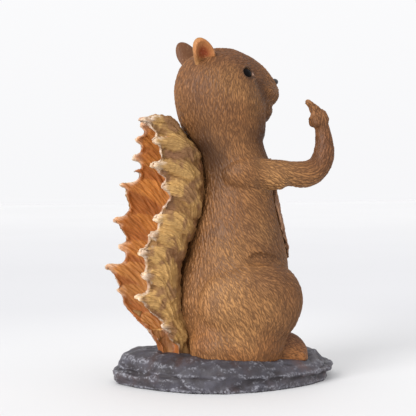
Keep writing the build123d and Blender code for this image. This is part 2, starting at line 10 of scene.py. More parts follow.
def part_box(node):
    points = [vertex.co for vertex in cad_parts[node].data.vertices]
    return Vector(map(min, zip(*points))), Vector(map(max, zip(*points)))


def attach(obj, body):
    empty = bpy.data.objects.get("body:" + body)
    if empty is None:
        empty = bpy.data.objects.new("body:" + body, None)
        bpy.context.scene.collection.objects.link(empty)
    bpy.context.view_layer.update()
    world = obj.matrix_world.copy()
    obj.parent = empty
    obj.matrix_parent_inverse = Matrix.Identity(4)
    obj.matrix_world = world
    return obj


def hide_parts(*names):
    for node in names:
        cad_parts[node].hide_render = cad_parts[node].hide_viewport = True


# Squirrel figurine: cast resin with carved fur, painted and dry brushed, on a rock.
# Shapes are worked on in millimetres and turned into metres when a piece is made.
# The squirrel faces -Y, its right side is -X, and the camera looks at its right side from behind.

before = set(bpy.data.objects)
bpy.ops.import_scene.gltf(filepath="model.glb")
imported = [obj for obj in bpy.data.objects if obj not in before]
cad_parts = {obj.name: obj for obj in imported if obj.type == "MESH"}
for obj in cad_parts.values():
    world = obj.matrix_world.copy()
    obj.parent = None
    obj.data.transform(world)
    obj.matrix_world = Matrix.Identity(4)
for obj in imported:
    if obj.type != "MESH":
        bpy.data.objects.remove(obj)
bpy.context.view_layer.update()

MM = 0.001


def coarser(size):
    """A mesh spacing, times a factor that is 1 here and is raised to make it coarser while trying things."""
    return size * 1.0


# The mesh spacings of the sculpted skins.
FIGURE_GRAIN = coarser(0.42)
TAIL_GRAIN = coarser(0.5)
ROCK_GRAIN = coarser(0.8)
SMALL_GRAIN = coarser(0.35)
EAR_GRAIN = 0.8 * SMALL_GRAIN

# The level of the neck's glued joint, and the rock's seat, which slopes up towards the tail.
NECK_LEVEL = 136.0
SEAT_HEIGHT = 16.5
SEAT_SLOPE = math.tan(math.radians(3.6))


def seat_level(y):
    """The height of the rock's seat at a place along the squirrel."""
    return SEAT_HEIGHT + y * SEAT_SLOPE


# Small helpers

def smooth(low, high, value):
    """0 below low, 1 above high and a smooth step between them."""
    t = np.clip((value - low) / (high - low), 0, 1)
    return t * t * (3 - 2 * t)


def unit(vectors):
    """Rows made one long."""
    return vectors / np.maximum(np.linalg.norm(vectors, axis=-1, keepdims=True), 1e-9)


def colour(red, green, blue):
    """Linear light from an sRGB colour given as 0 to 255."""
    parts = np.array([red, green, blue]) / 255
    return np.where(parts <= 0.04045, parts / 12.92, ((parts + 0.055) / 1.055) ** 2.4)


def wander(points, size, seed, depth=2):
    """Smooth noise at each point, about -1 to 1, for features of the given size in millimetres."""
    shift = Vector((17.3 * seed, -9.1 * seed, 4.7 * seed))
    return np.array([noise.fractal(Vector(p) / size + shift, 0.8, 2.0, depth) for p in points])


def blend(a, b, share):
    """From one colour to another by a share for each point."""
    share = share[:, None]
    return a * (1 - share) + b * share


def tree_of(points):
    """A tree that finds the nearest of some points."""
    tree = KDTree(len(points))
    for i, point in enumerate(points):
        tree.insert(point, i)
    tree.balance()
    return tree


def corners_of(name):
    """The lowest and the highest corner of a CAD node, in millimetres."""
    return [np.array(corner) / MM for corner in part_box(name)]


def add(name, data):
    """A new object in the scene."""
    made = bpy.data.objects.new(name, data)
    bpy.context.scene.collection.objects.link(made)
    return made


# Clay: skins that are sculpted before they become pieces

def read_mesh(mesh):
    """Places in millimetres and corners of the triangles of a Blender mesh."""
    mesh.calc_loop_triangles()
    places = np.empty(len(mesh.vertices) * 3)
    mesh.vertices.foreach_get("co", places)
    corners = np.empty(len(mesh.loop_triangles) * 3, int)
    mesh.loop_triangles.foreach_get("vertices", corners)
    return places.reshape(-1, 3) / MM, corners.reshape(-1, 3)


def largest_part(places, faces):
    """Only the biggest connected skin, without closed pockets inside it."""
    label = np.arange(len(places))
    while True:
        low = label[faces].min(axis=1)
        new = label.copy()
        for corner in range(4):
            np.minimum.at(new, faces[:, corner], low)
        new = new[new]
        if (new == label).all():
            break
        label = new
    keep = label == np.bincount(label).argmax()
    number = np.cumsum(keep) - 1
    faces = faces[keep[faces[:, 0]]]
    return places[keep], number[faces]


def skin(names, grain):
    """The outer skin of some CAD nodes melted together, in even quads of one size."""
    places, corners, start = [], [], 0
    for name in names:
        p, c = read_mesh(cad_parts[name].data)
        places.append(p)
        corners.append(c + start)
        start += len(p)
    mesh = bpy.data.meshes.new("melt")
    mesh.from_pydata(np.concatenate(places) * MM, [], np.concatenate(corners).tolist())
    melt = add("melt", mesh)
    remesh = melt.modifiers.new("melt", "REMESH")
    remesh.mode = "VOXEL"
    remesh.voxel_size = grain * MM
    graph = bpy.context.evaluated_depsgraph_get()
    made = bpy.data.meshes.new_from_object(melt.evaluated_get(graph))
    points = np.empty(len(made.vertices) * 3)
    made.vertices.foreach_get("co", points)
    quads = np.empty(len(made.loops), int)
    made.loops.foreach_get("vertex_index", quads)
    bpy.data.objects.remove(melt)
    return largest_part(points.reshape(-1, 3) / MM, quads.reshape(-1, 4))


class Clay:
    """A closed skin of quads in millimetres, with painted layers on its points."""

    def __init__(self, names, grain):
        self.v, self.f = skin(names, grain)
        edges = np.concatenate([self.f[:, [i, (i + 1) % 4]] for i in range(4)])
        self.e = np.unique(np.sort(edges, axis=1), axis=0)
        self.links = np.bincount(self.e.ravel(), minlength=len(self.v))
        self.grain = grain

    def mean(self, values):
        """The mean of each point's neighbours."""
        a, b = self.e.T
        columns = values.reshape(len(values), -1).T
        sums = [
            np.bincount(a, column[b], len(values)) + np.bincount(b, column[a], len(values))
            for column in columns
        ]
        return (np.array(sums) / self.links).T.reshape(values.shape)

    def normals(self):
        """The direction out of the skin at each point."""
        p = self.v[self.f]
        face = np.cross(p[:, 2] - p[:, 0], p[:, 3] - p[:, 1])
        sums = np.zeros_like(self.v)
        for axis in range(3):
            for corner in range(4):
                sums[:, axis] += np.bincount(self.f[:, corner], face[:, axis], len(self.v))
        return unit(sums)

    def relax(self, times, share=0.5, where=None):
        """Evens out the skin, everywhere or by a weight for each point."""
        weight = share if where is None else share * where[:, None]
        for _ in range(times):
            self.v = self.v + weight * (self.mean(self.v) - self.v)

    def sink(self, level, depth, reach=2.5):
        """Draws the skin's lowest points down, so that it is bedded in what it stands on."""
        share = 1 - smooth(0.0, reach, self.v[:, 2] - level(self.v[:, 1]))
        self.v[:, 2] -= depth * share

    def fill_creases(self, reach, times):
        """Softens inner corners into hollows whose width is about the reach."""
        for _ in range(times):
            n = self.normals()
            pull = self.mean(self.v) - self.v
            depth = (pull * n).sum(axis=1)
            for _ in range(3):
                depth = self.mean(depth)
            weight = smooth(0.0, self.grain * self.grain / reach, depth)
            self.v = self.v + 0.6 * weight[:, None] * pull

    def level_out(self, breadth, where, bumps=False):
        """Fills hollows of a given breadth up to the blurred skin, by a weight for each point.
        Bumps are taken down to it as well where that is asked for."""
        blurred = self.v
        for _ in range(round(2 * (breadth / self.grain) ** 2)):
            blurred = self.mean(blurred)
        n = self.normals()
        rise = np.clip(((blurred - self.v) * n).sum(axis=1), -9 if bumps else 0, None)
        self.v = self.v + (rise * where)[:, None] * n

    def near(self, centre, radius):
        """A soft spot of weight round a centre, 1 in its middle and 0 at the radius."""
        radius = np.broadcast_to(np.asarray(radius, float), 3)
        d2 = (((self.v - centre) / radius) ** 2).sum(axis=1)
        return np.clip(1 - d2, 0, None) ** 2

    def swell(self, centre, radius, amount, direction=None):
        """Moves a soft spot out of the skin, or along a direction."""
        way = self.normals() if direction is None else unit(np.array(direction, float))
        self.v = self.v + amount * self.near(centre, radius)[:, None] * way

    def trace(self, line, radius):
        """Weight near a line of points: 1 on it and 0 at the radius, thinner towards its ends."""
        path = smooth_path(line, 24)
        best = np.zeros(len(self.v))
        for i, point in enumerate(path):
            share = i / (len(path) - 1)
            reach = radius * (0.45 + 0.55 * math.sin(math.pi * share))
            d2 = ((self.v - point) ** 2).sum(axis=1) / reach ** 2
            best = np.maximum(best, np.clip(1 - d2, 0, None) * min(1, 4 * share, 4 * (1 - share) + 0.2))
        return best

    def groove(self, line, radius, depth):
        """Cuts a soft groove along a line, or raises a ridge where the depth is below zero."""
        self.v = self.v - depth * self.trace(line, radius)[:, None] * self.normals()

    def shape(self, rows, side=1):
        """Swells spots and cuts grooves from the rows of a table, mirrored where side is -1.
        A spot's row is its centre, radius, amount and perhaps a direction, and a groove's row is
        its points, radius and depth."""
        mirror = np.array([side, 1, 1])
        for where, radius, amount, *way in rows:
            if np.ndim(where) == 2:
                self.groove(mirror * where, radius, amount)
            else:
                self.swell(mirror * where, radius, amount, *(mirror * w for w in way))


def smooth_path(points, count):
    """Points evenly along a smooth curve through a few given ones."""
    p = np.array(points, float)
    if len(p) == 2:
        return p[0] + np.linspace(0, 1, count)[:, None] * (p[1] - p[0])
    p = np.concatenate([[2 * p[0] - p[1]], p, [2 * p[-1] - p[-2]]])
    path = []
    for t in np.linspace(0, len(p) - 3 - 1e-6, count):
        i, s = int(t) + 1, t - int(t)
        a, b, c, d = p[i - 1], p[i], p[i + 1], p[i + 2]
        path.append(0.5 * (2 * b + (c - a) * s + (2 * a - 5 * b + 4 * c - d) * s ** 2
                           + (3 * b - a - 3 * c + d) * s ** 3))
    return np.array(path)


# Fur: strokes carved into clay along a flow

# Odd factors that turn a cube's three whole numbers into one key.
KEY_FACTORS = [73856093, 19349663, 83492791]

# How sharply a stroke's cut and its raised edges fall off to the sides.
CUT_FALL = 4.5
EDGE_FALL = 1.4


def fur_layers(clay, way, coat, deep, pale=0.0):
    """The painted layers of a furry skin: its tones, strokes and frost, and the way across its hair."""
    n = clay.normals()
    return {"Coat": coat, "Deep": deep, "Pale": np.zeros(len(n)) + pale, "Lie": np.cross(n, way(clay.v, n))}


def scatter(clay, spacing, rng, where=None):
    """Random points of a skin, at most one in each cube of the spacing."""
    order = rng.permutation(len(clay.v))
    if where is not None:
        order = order[where[order] > rng.random(len(order))]
    cells = np.floor(clay.v[order] / spacing).astype(int)
    keys = (cells * KEY_FACTORS).sum(axis=1)
    first = np.unique(keys, return_index=True)[1]
    return order[np.sort(first)]


def guided_flow(guides, reach=5.0):
    """A direction field from given guides: a place and the way that the fur lies there."""
    places = np.array([g[0] for g in guides], float)
    ways = unit(np.array([g[1] for g in guides], float))

    def flow(points, normals):
        total = np.zeros_like(points)
        for place, way in zip(places, ways):
            d2 = ((points - place) ** 2).sum(axis=1)
            total += (1 / (d2 + reach ** 2) ** 2)[:, None] * way
        total -= (total * normals).sum(axis=1, keepdims=True) * normals
        return unit(total)

    return flow


def carve(clay, flow, seed, spacing, length, width, depth, lift=0.0, turn=0.2, bend=0.25, where=None,
          force=None):
    """Carves strokes along the flow. Returns how deep in a stroke each point lies, 0 to 1.
    Where says how likely strokes are at each point, and force how strong they are there."""
    rng = np.random.default_rng(seed)
    n = clay.normals()
    pick = scatter(clay, spacing, rng, where)
    count = len(pick)
    c, cn = clay.v[pick], n[pick]
    t = flow(c, cn)
    b = np.cross(cn, t)
    angle = rng.normal(0, turn, count)[:, None]
    t, b = t * np.cos(angle) + b * np.sin(angle), b * np.cos(angle) - t * np.sin(angle)
    half = length / 2 * rng.uniform(0.6, 1.35, count)
    wide = width * rng.uniform(0.75, 1.25, count)
    bow = bend * rng.normal(0, 1, count)
    wave = bend * 0.6 * rng.normal(0, 1, count)
    strength = rng.uniform(0.55, 1.0, count)

    tree = tree_of(clay.v)
    found = [[hit[1] for hit in tree.find_range(p, r)] for p, r in zip(c, half * 1.02)]
    stroke = np.repeat(np.arange(count), [len(x) for x in found])
    point = np.concatenate([np.array(x, int) for x in found])

    d = clay.v[point] - c[stroke]
    s = (d * t[stroke]).sum(axis=1) / half[stroke]
    q = (d * b[stroke]).sum(axis=1)
    q = q - bow[stroke] * (s * s - 0.3) - wave[stroke] * np.sin(3.0 * s)
    q = q / wide[stroke]
    facing = (n[point] * cn[stroke]).sum(axis=1)
    ends = np.clip(1 - s * s, 0, None) * smooth(0.2, 0.6, facing)
    cut = np.exp(-CUT_FALL * q * q) * ends ** 0.7 * strength[stroke]
    deep = np.zeros(len(clay.v))
    np.maximum.at(deep, point, cut)
    rise = np.bincount(point, q * np.exp(-EDGE_FALL * q * q) * ends, len(clay.v))
    if force is not None:
        deep = deep * force
        rise = rise * force
    move = -depth * deep + lift * np.clip(rise, -1.2, 1.2)
    clay.v = clay.v + move[:, None] * n
    return deep


# Pieces

def outline_loops(faces):
    """Closed rows of points round the open edges of some quads."""
    edges = np.concatenate([faces[:, [i, (i + 1) % 4]] for i in range(4)])
    ordered = np.sort(edges, axis=1)
    _, index, number = np.unique(ordered, axis=0, return_inverse=True, return_counts=True)[0:3]
    lone = edges[number[index.ravel()] == 1]
    after = {int(b): int(a) for a, b in lone}
    loops = []
    while after:
        first, now = after.popitem()
        loop = [first]
        while now != first:
            loop.append(now)
            now = after.pop(now)
        loops.append(loop)
    return loops


def make_piece(name, places, faces, layers, material, nodes, normals=None, extra=()):
    """A Blender object from clay, riding on the figurine's one body."""
    mesh = bpy.data.meshes.new(name)
    every = faces.tolist() + [list(face) for face in extra]
    mesh.from_pydata(places * MM, [], every)
    for key, values in layers.items():
        if values.ndim == 1:
            mesh.attributes.new(key, "FLOAT", "POINT").data.foreach_set("value", values)
        elif key == "Lie":
            mesh.attributes.new(key, "FLOAT_VECTOR", "POINT").data.foreach_set("vector", values.ravel())
        else:
            rgba = np.concatenate([values, np.ones((len(values), 1))], axis=1)
            mesh.attributes.new(key, "FLOAT_COLOR", "POINT").data.foreach_set("color", rgba.ravel())
    mesh.shade_smooth()
    if normals is not None:
        mesh.update()
        corner = np.empty(len(mesh.loops), int)
        mesh.loops.foreach_get("vertex_index", corner)
        each = normals[corner]
        caps = sum(len(face) for face in extra)
        if caps:
            flat = np.empty(len(mesh.polygons) * 3)
            mesh.polygons.foreach_get("normal", flat)
            flat = flat.reshape(-1, 3)[len(faces):]
            each[-caps:] = np.repeat(flat, [len(face) for face in extra], axis=0)
        mesh.normals_split_custom_set(each.tolist())
    piece = add(name, mesh)
    mesh.materials.append(material)
    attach(piece, "root")
    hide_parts(*nodes)
    return piece


def part_of(clay, chosen, layers):
    """The chosen quads of a clay skin as a closed mesh: places, quads, layers, normals and caps."""
    faces = clay.f[chosen]
    used = np.unique(faces)
    number = np.full(len(clay.v), -1)
    number[used] = np.arange(len(used))
    faces = number[faces]
    places = clay.v[used]
    normals = clay.normals()[used]
    layers = {key: values[used] for key, values in layers.items()}
    caps = []
    for loop in outline_loops(faces):
        middle = len(places)
        places = np.concatenate([places, [places[loop].mean(axis=0)]])
        normals = np.concatenate([normals, [[0, 0, 1]]])
        layers = {
            key: np.concatenate([values, values[loop].mean(axis=0, keepdims=True)])
            for key, values in layers.items()
        }
        caps += [(loop[i], loop[(i + 1) % len(loop)], middle) for i in range(len(loop))]
    return places, faces, layers, normals, caps


# Materials

class Paint:
    """One material or sky, whose nodes are added one by one."""

    def __init__(self, name, kind=bpy.data.materials, shader="Principled BSDF"):
        self.material = kind.new(name)
        self.material.use_nodes = True
        self.tree = self.material.node_tree
        self.shader = self.tree.nodes[shader]

    def put(self, socket, value):
        """Sets a socket, or links another one into it."""
        if isinstance(value, bpy.types.NodeSocket):
            self.tree.links.new(value, socket)
        elif isinstance(value, (tuple, list, np.ndarray)) and len(value) == 3 and socket.type == "RGBA":
            socket.default_value = (*value, 1)
        else:
            socket.default_value = value

    def node(self, kind, inputs=(), output=0, **settings):
        """Adds a node, sets it up and returns one of its outputs."""
        node = self.tree.nodes.new("ShaderNode" + kind)
        for key, value in settings.items():
            setattr(node, key, value)
        for key, value in dict(inputs).items():
            self.put(node.inputs[key], value)
        return node.outputs[output]

    def layer(self, name, output="Fac"):
        """A layer painted on the piece's points."""
        return self.node("Attribute", output=output, attribute_name=name)

    def math(self, operation, a, b=0.0, clamp=False):
        return self.node("Math", {0: a, 1: b}, operation=operation, use_clamp=clamp)

    def place(self):
        """The place on the piece, in metres."""
        return self.node("TexCoord", output="Object")

    def speckle(self, scale, detail=3.0, rough=0.55, where=None):
        """Noise from 0 to 1 whose features are 1 / scale metres."""
        place = self.place() if where is None else where
        values = {"Vector": place, "Scale": scale, "Detail": detail, "Roughness": rough}
        return self.node("TexNoise", values)

    def span(self, value, low, high, to_low=0.0, to_high=1.0):
        """Maps one span to another and keeps to it."""
        values = {0: value, 1: low, 2: high, 3: to_low, 4: to_high}
        return self.node("MapRange", values, interpolation_type="SMOOTHSTEP")

    def mix(self, share, a, b, blend="MIX"):
        """Mixes two colours."""
        values = {"Factor": share, 6: a, 7: b}
        return self.node("Mix", values, output=2, data_type="RGBA", blend_type=blend)

    def bump(self, height, distance, strength=1.0, normal=None):
        """Fine relief, with its depth in metres."""
        values = {"Height": height, "Distance": distance, "Strength": strength}
        if normal is not None:
            values["Normal"] = normal
        return self.node("Bump", values)

    def finish(self, base, rough, normal=None, **plain):
        """Wires up the shader and returns the material."""
        self.put(self.shader.inputs["Base Color"], base)
        self.put(self.shader.inputs["Roughness"], rough)
        if normal is not None:
            self.put(self.shader.inputs["Normal"], normal)
        for key, value in plain.items():
            self.put(self.shader.inputs[key.replace("_", " ")], value)
        return self.material


# Features per metre of the paint's patches and grain and of the hairs, and the depth of the last two.
PATCH_SCALE = 90.0
GRAIN_SCALE = 900.0
HAIR_SCALE = 480.0
GRAIN_DEPTH = 0.00006
HAIR_DEPTH = 0.00016
PATCH_TINT = (0.80, 0.77, 0.74)


def painted_fur(name, wash, brush, wash_share, brush_share, hair_share=0.2):
    """Airbrushed paint with a dark wash in the carved strokes and dry brushing on the ridges."""
    paint = Paint(name)
    coat = paint.layer("Coat", "Color")
    deep = paint.layer("Deep")
    pale = paint.layer("Pale")
    patches = paint.speckle(PATCH_SCALE, 4.0, 0.6)
    grain = paint.speckle(GRAIN_SCALE, 2.0, 0.6)
    hairs = paint.node("TexGabor", {
        "Vector": paint.place(), "Scale": HAIR_SCALE, "Frequency": 1.9, "Anisotropy": 0.9,
        "Orientation": paint.layer("Lie", "Vector"),
    }, gabor_type="3D")
    shaded = paint.mix(1.0, coat, PATCH_TINT, "MULTIPLY")
    base = paint.mix(paint.span(patches, 0.3, 0.7), shaded, coat)
    base = paint.mix(paint.math("MULTIPLY", paint.span(hairs, 0.35, 0.75), hair_share), base, wash)
    base = paint.mix(paint.math("MULTIPLY", paint.span(deep, 0.12, 0.75), wash_share), base, wash)
    ridge = paint.math("MULTIPLY", paint.span(deep, 0.0, 0.25, 1.0, 0.0), paint.span(grain, 0.45, 0.7))
    base = paint.mix(paint.math("MULTIPLY", ridge, brush_share), base, brush)
    frost = paint.math("MULTIPLY", pale, paint.span(grain, 0.3, 0.6, 0.45, 1.0))
    base = paint.mix(frost, base, brush)
    rough = paint.span(patches, 0.3, 0.7, 0.5, 0.62)
    relief = paint.bump(hairs, HAIR_DEPTH, 0.6)
    relief = paint.bump(grain, GRAIN_DEPTH, 0.5, relief)
    return paint.finish(base, rough, relief, Specular_IOR_Level=0.28)


FUR_WASH = colour(62, 36, 18)
FUR_BRUSH = colour(176, 134, 84)
fur_paint = painted_fur("fur_paint", FUR_WASH, FUR_BRUSH, 0.68, 0.2)


# The figure: body, head and arms sculpted as one, then parted at the glued joints

FUR_TONES = {
    "mid": colour(155, 107, 63),
    "tan": colour(168, 121, 73),
    "dark": colour(124, 80, 48),
    "umber": colour(84, 52, 31),
    "grey": colour(122, 86, 64),
    "orange": colour(160, 104, 56),
    "light": colour(200, 148, 92),
    "honey": colour(126, 82, 38),
    # Painted shade, for the crease where the tail meets the back and the nape.
    "crease": colour(46, 28, 15),
}


def mirrored(rows):
    """Rows that start with a place, and perhaps a direction, with their mirror images across the spine."""
    both = list(rows)
    for row in rows:
        if row[0][0]:
            both.append([(-r[0], r[1], r[2]) if isinstance(r, tuple) else r for r in row])
    return both


# Where the fur lies which way, on the right side and the middle: place, then direction.
FUR_GUIDES = mirrored([
    ((0, -30, 174), (0, 0.8, 0.6)),
    ((0, -14, 185), (0, 1, 0.35)),
    ((0, 6, 188), (0, 1, -0.1)),
    ((0, 24, 172), (0, 0.1, -1)),
    ((0, 24, 150), (0, 0, -1)),
    ((-14, -24, 170), (0.1, 0.9, 0.1)),
    ((-17, -10, 180), (-0.3, 0.9, -0.2)),
    ((-22, 6, 172), (-0.2, 0.25, -1)),
    ((-24, 4, 158), (0, -0.05, -1)),
    ((-20, 18, 150), (0, 0, -1)),
    ((-22, -10, 158), (0, -0.1, -1)),
    ((-16, -22, 158), (0, 0.35, -1)),
    ((-20, -12, 148), (0, -0.35, -1)),
    ((0, -28, 146), (0, 0.1, -1)),
    ((-20, 0, 136), (0, -0.15, -1)),
    ((-12, 16, 126), (0, -0.05, -1)),
    ((-22, -8, 122), (-0.2, -0.6, -1)),
    ((-24, -18, 114), (0, -1, -0.5)),
    ((-20, -44, 112), (0, -1, -0.1)),
    ((-20, -56, 122), (0, -0.2, 1)),
    ((-20, -52, 140), (0, 0.1, 1)),
    ((-26, 6, 100), (0, -0.45, -1)),
    ((-25, -14, 96), (0, -0.9, -1)),
    ((-22, 18, 86), (0, -0.2, -1)),
    ((-29, 0, 76), (0, -0.7, -1)),
    ((-24, -24, 80), (0, -0.8, -1)),
    ((-30, -22, 66), (0, -1, -0.15)),
    ((-26, -36, 64), (0, -1, -0.3)),
    ((-32, 8, 54), (0, -0.6, -1)),
    ((-36, -8, 46), (0, -0.65, -1)),
    ((-34, -28, 46), (0, -0.5, -1)),
    ((-28, -38, 40), (0, 0.1, -1)),
    ((-30, 8, 28), (0, -0.65, -1)),
    ((-30, -24, 28), (0, 0.2, -1)),
    ((0, -40, 90), (0, 0, -1)),
    ((0, -34, 120), (0, -0.1, -1)),
    ((0, 20, 60), (0, 0, -1)),
])

# Airbrushed zones of the fur, with painted shade where the tail meets the back: place, tone, radius and
# strength.
FUR_ZONES = [
    ((-18, -4, 186), "dark", 15, 0.8), ((0, -6, 188), "dark", 20, 0.8), ((0, 20, 176), "dark", 16, 0.6),
    ((-18, 20, 166), "dark", 10, 0.4), ((-18, -18, 176), "dark", 12, 0.6),
    ((-15, -18, 166), "umber", 4.5, 0.8), ((-13, -23, 161), "umber", 4.5, 0.7),
    ((-24, 2, 166), "tan", 10, 0.5), ((-22, -12, 158), "tan", 9, 0.5),
    ((-22, -6, 148), "orange", 8, 0.4), ((-14, -27, 164), "mid", 5, 0.6), ((-22, 6, 150), "dark", 10, 0.3),
    ((-16, -22, 138), "umber", 11, 0.8), ((0, -28, 138), "umber", 14, 0.8), ((-20, -2, 134), "mid", 12, 0.5),
    # The spots in the crease tone are painted shade where the tail meets the back.
    ((-12, 18, 126), "crease", 14, 0.95), ((-20, 14, 114), "crease", 11, 0.9),
    ((-24, 14, 100), "crease", 8, 0.8),
    ((-24, 14, 86), "crease", 6, 0.6), ((-25, 20, 72), "crease", 6, 0.7), ((-27, -12, 118), "mid", 12, 0.8),
    ((-26, -22, 112), "tan", 10, 0.6), ((-20, -40, 110), "tan", 9, 0.6), ((-20, -50, 124), "dark", 9, 0.3),
    ((-20, -52, 150), "mid", 10, 0.6), ((-27, -2, 100), "mid", 12, 0.6), ((-28, -14, 90), "tan", 9, 0.5),
    ((-24, -28, 92), "dark", 9, 0.2), ((-26, -26, 78), "umber", 10, 0.35), ((-30, -10, 86), "grey", 7, 0.5),
    ((-30, 4, 76), "tan", 13, 0.8), ((-32, -26, 62), "dark", 9, 0.5), ((-34, -34, 52), "dark", 9, 0.5),
    ((-34, 6, 52), "tan", 12, 0.7), ((-35, -12, 58), "grey", 6, 0.4), ((-36, -10, 38), "tan", 8, 0.4),
    ((-34, 6, 32), "tan", 12, 0.7), ((-33, -14, 26), "orange", 11, 0.9), ((-28, -34, 34), "dark", 9, 0.4),
    ((-30, 2, 18), "orange", 10, 0.8), ((-26, -22, 18), "orange", 9, 0.8), ((-22, -38, 20), "dark", 8, 0.3),
    ((-20, 18, 132), "crease", 11, 0.9), ((-14, 24, 152), "umber", 9, 0.4), ((-26, 19, 82), "honey", 9, 0.9),
    ((-34, -6, 42), "light", 20, 0.3), ((-22, -38, 22), "light", 9, 0.3), ((-24, -53, 132), "dark", 15, 1.0),
    ((-26, -20, 84), "light", 7, 0.3), ((-22, -51, 148), "dark", 9, 0.5), ((-24, -26, 116), "light", 10, 0.7),
    ((-22, 16, 160), "dark", 8, 0.3), ((-26, 2, 95), "dark", 9, 0.3), ((-34, 12, 54), "light", 12, 0.35),
    ((-32, 0, 30), "light", 11, 0.35), ((-26, -34, 118), "dark", 7, 0.3),
    ((0, -38, 100), "grey", 12, 0.4), ((0, -36, 60), "dark", 14, 0.5), ((-22, 22, 26), "orange", 9, 0.7),
]

ZONE_DRIFT = 3.0
ZONE_DRIFT_SIZE = 12.0


def zone_coat(clay, base, zones):
    """Broad paint: soft spots of tone, one over another, with wandering borders."""
    coat = np.tile(base, (len(clay.v), 1))
    drift = ZONE_DRIFT * np.stack([wander(clay.v, ZONE_DRIFT_SIZE, k) for k in (1, 2, 3)], axis=1)
    p = clay.v + drift
    for place, tone, radius, strength in zones:
        d2 = ((p - place) ** 2).sum(axis=1) / radius ** 2
        coat = blend(coat, FUR_TONES[tone], strength * np.exp(-0.9 * d2 ** 1.3))
    return coat


EYE_PLACE = np.array([-17.8, -9.1, 172.4])
EYE_REACH = 3.4
EYE_RISE = 2.8
EYE_TAPER = 0.14

# Distances from the eye's middle: the skin that is sculpted, the ring that shows which way it faces,
# the ring that the smooth sheet is fitted to, and the span over which that sheet ends.
SOCKET_REACH = 12.0
FACING_RING = (5, 9)
SHEET_RING = (4.6, 8.0)
SHEET_END = (5.4, 8.0)

# The lids' raised rim with the hollow inside it, the brow, and the painted highlight at the corner in front.
LID_HEIGHT = 0.75
LID_WIDTH = 0.9
SOCKET_DEPTH = 1.7
BROW_HEIGHT = 0.5
BROW_SIZE = (5.0, 1.5)
BROW_RISE = 4.4
CORNER_HIGHLIGHT_PLACE = (3.9, -1.0)
CORNER_HIGHLIGHT_SIZE = (1.3, 0.8)

# The bead in the socket: its reach past the lids, its half thickness and how far it is bedded in.
BEAD_SPARE = 0.15
BEAD_THICKNESS = 1.7
BEAD_BEDDING = 1.15


class Socket:
    """The skin round one eye as a smooth sheet with its own axes: forwards, up and out."""

    def __init__(self, clay, side):
        place = EYE_PLACE * (-side, 1, 1)
        away = np.linalg.norm(clay.v - place, axis=1)
        facing = (away > FACING_RING[0]) & (away < FACING_RING[1])
        out = unit(clay.normals()[facing].mean(axis=0))
        forward = unit(np.cross(out, (0, 0, 1)))
        forward = forward if forward[1] < 0 else -forward
        up = np.cross(out, forward)
        up = up if up[2] > 0 else -up
        self.place, self.axes = place, np.array([forward, up, out])
        local = (clay.v - place) @ self.axes.T
        a, b = local[:, 0], local[:, 1]
        flat = np.hypot(a, b)
        near = (away < SOCKET_REACH) & (local[:, 2] > -0.75 * SOCKET_REACH)
        ring = near & (flat > SHEET_RING[0]) & (flat < SHEET_RING[1])
        self.sheet = np.linalg.lstsq(self.terms(local[ring]), local[ring, 2], rcond=None)[0]
        almond = np.hypot(a / EYE_REACH, b / EYE_RISE)
        almond = almond + EYE_TAPER * np.abs(a) * b / (EYE_REACH * EYE_RISE)
        edge = (almond - 1) * EYE_RISE
        lid = LID_HEIGHT * np.exp(-(edge / LID_WIDTH) ** 2) - SOCKET_DEPTH * smooth(0.5, -0.6, edge)
        brow = BROW_HEIGHT * np.exp(-((a / BROW_SIZE[0]) ** 2 + ((b - BROW_RISE) / BROW_SIZE[1]) ** 2))
        height = self.terms(local) @ self.sheet + lid + brow
        share = near * (1 - smooth(*SHEET_END, flat))
        # The corner weight is where a pale painted highlight goes at the eye's front corner.
        corner = ((a - CORNER_HIGHLIGHT_PLACE[0]) / CORNER_HIGHLIGHT_SIZE[0]) ** 2 + ((b - CORNER_HIGHLIGHT_PLACE[1]) / CORNER_HIGHLIGHT_SIZE[1]) ** 2
        self.corner = near * np.exp(-corner)
        self.rim = near * np.exp(-((edge - 0.2) / 0.8) ** 2)
        self.bare = 1 - smooth(0.6, 2.4, np.where(near, edge, 9.0))
        local[:, 2] += share * (height - local[:, 2])
        clay.v = np.where(near[:, None], place + local @ self.axes, clay.v)

    @staticmethod
    def terms(local):
        """The terms of a smooth sheet of the second degree."""
        a, b = local[:, 0], local[:, 1]
        return np.stack([np.ones(len(a)), a, b, a * a, a * b, b * b], axis=1)

    def ball(self, name, node, material):
        """The eye itself: a flat glossy bead bedded in the socket."""
        form = bmesh.new()
        bmesh.ops.create_uvsphere(form, u_segments=40, v_segments=20, radius=1)
        form.verts.index_update()
        size = (EYE_REACH + BEAD_SPARE, EYE_RISE + BEAD_SPARE, BEAD_THICKNESS)
        local = np.array([corner.co for corner in form.verts]) * size
        local[:, 2] += self.terms(local) @ self.sheet - BEAD_BEDDING
        turn = -1 if np.linalg.det(self.axes) < 0 else 1
        faces = [[corner.index for corner in face.verts][::turn] for face in form.faces]
        quads = np.array([face for face in faces if len(face) == 4])
        caps = [face for face in faces if len(face) == 3]
        form.free()
        make_piece(name, self.place + local @ self.axes, quads, {}, material, [node], None, caps)


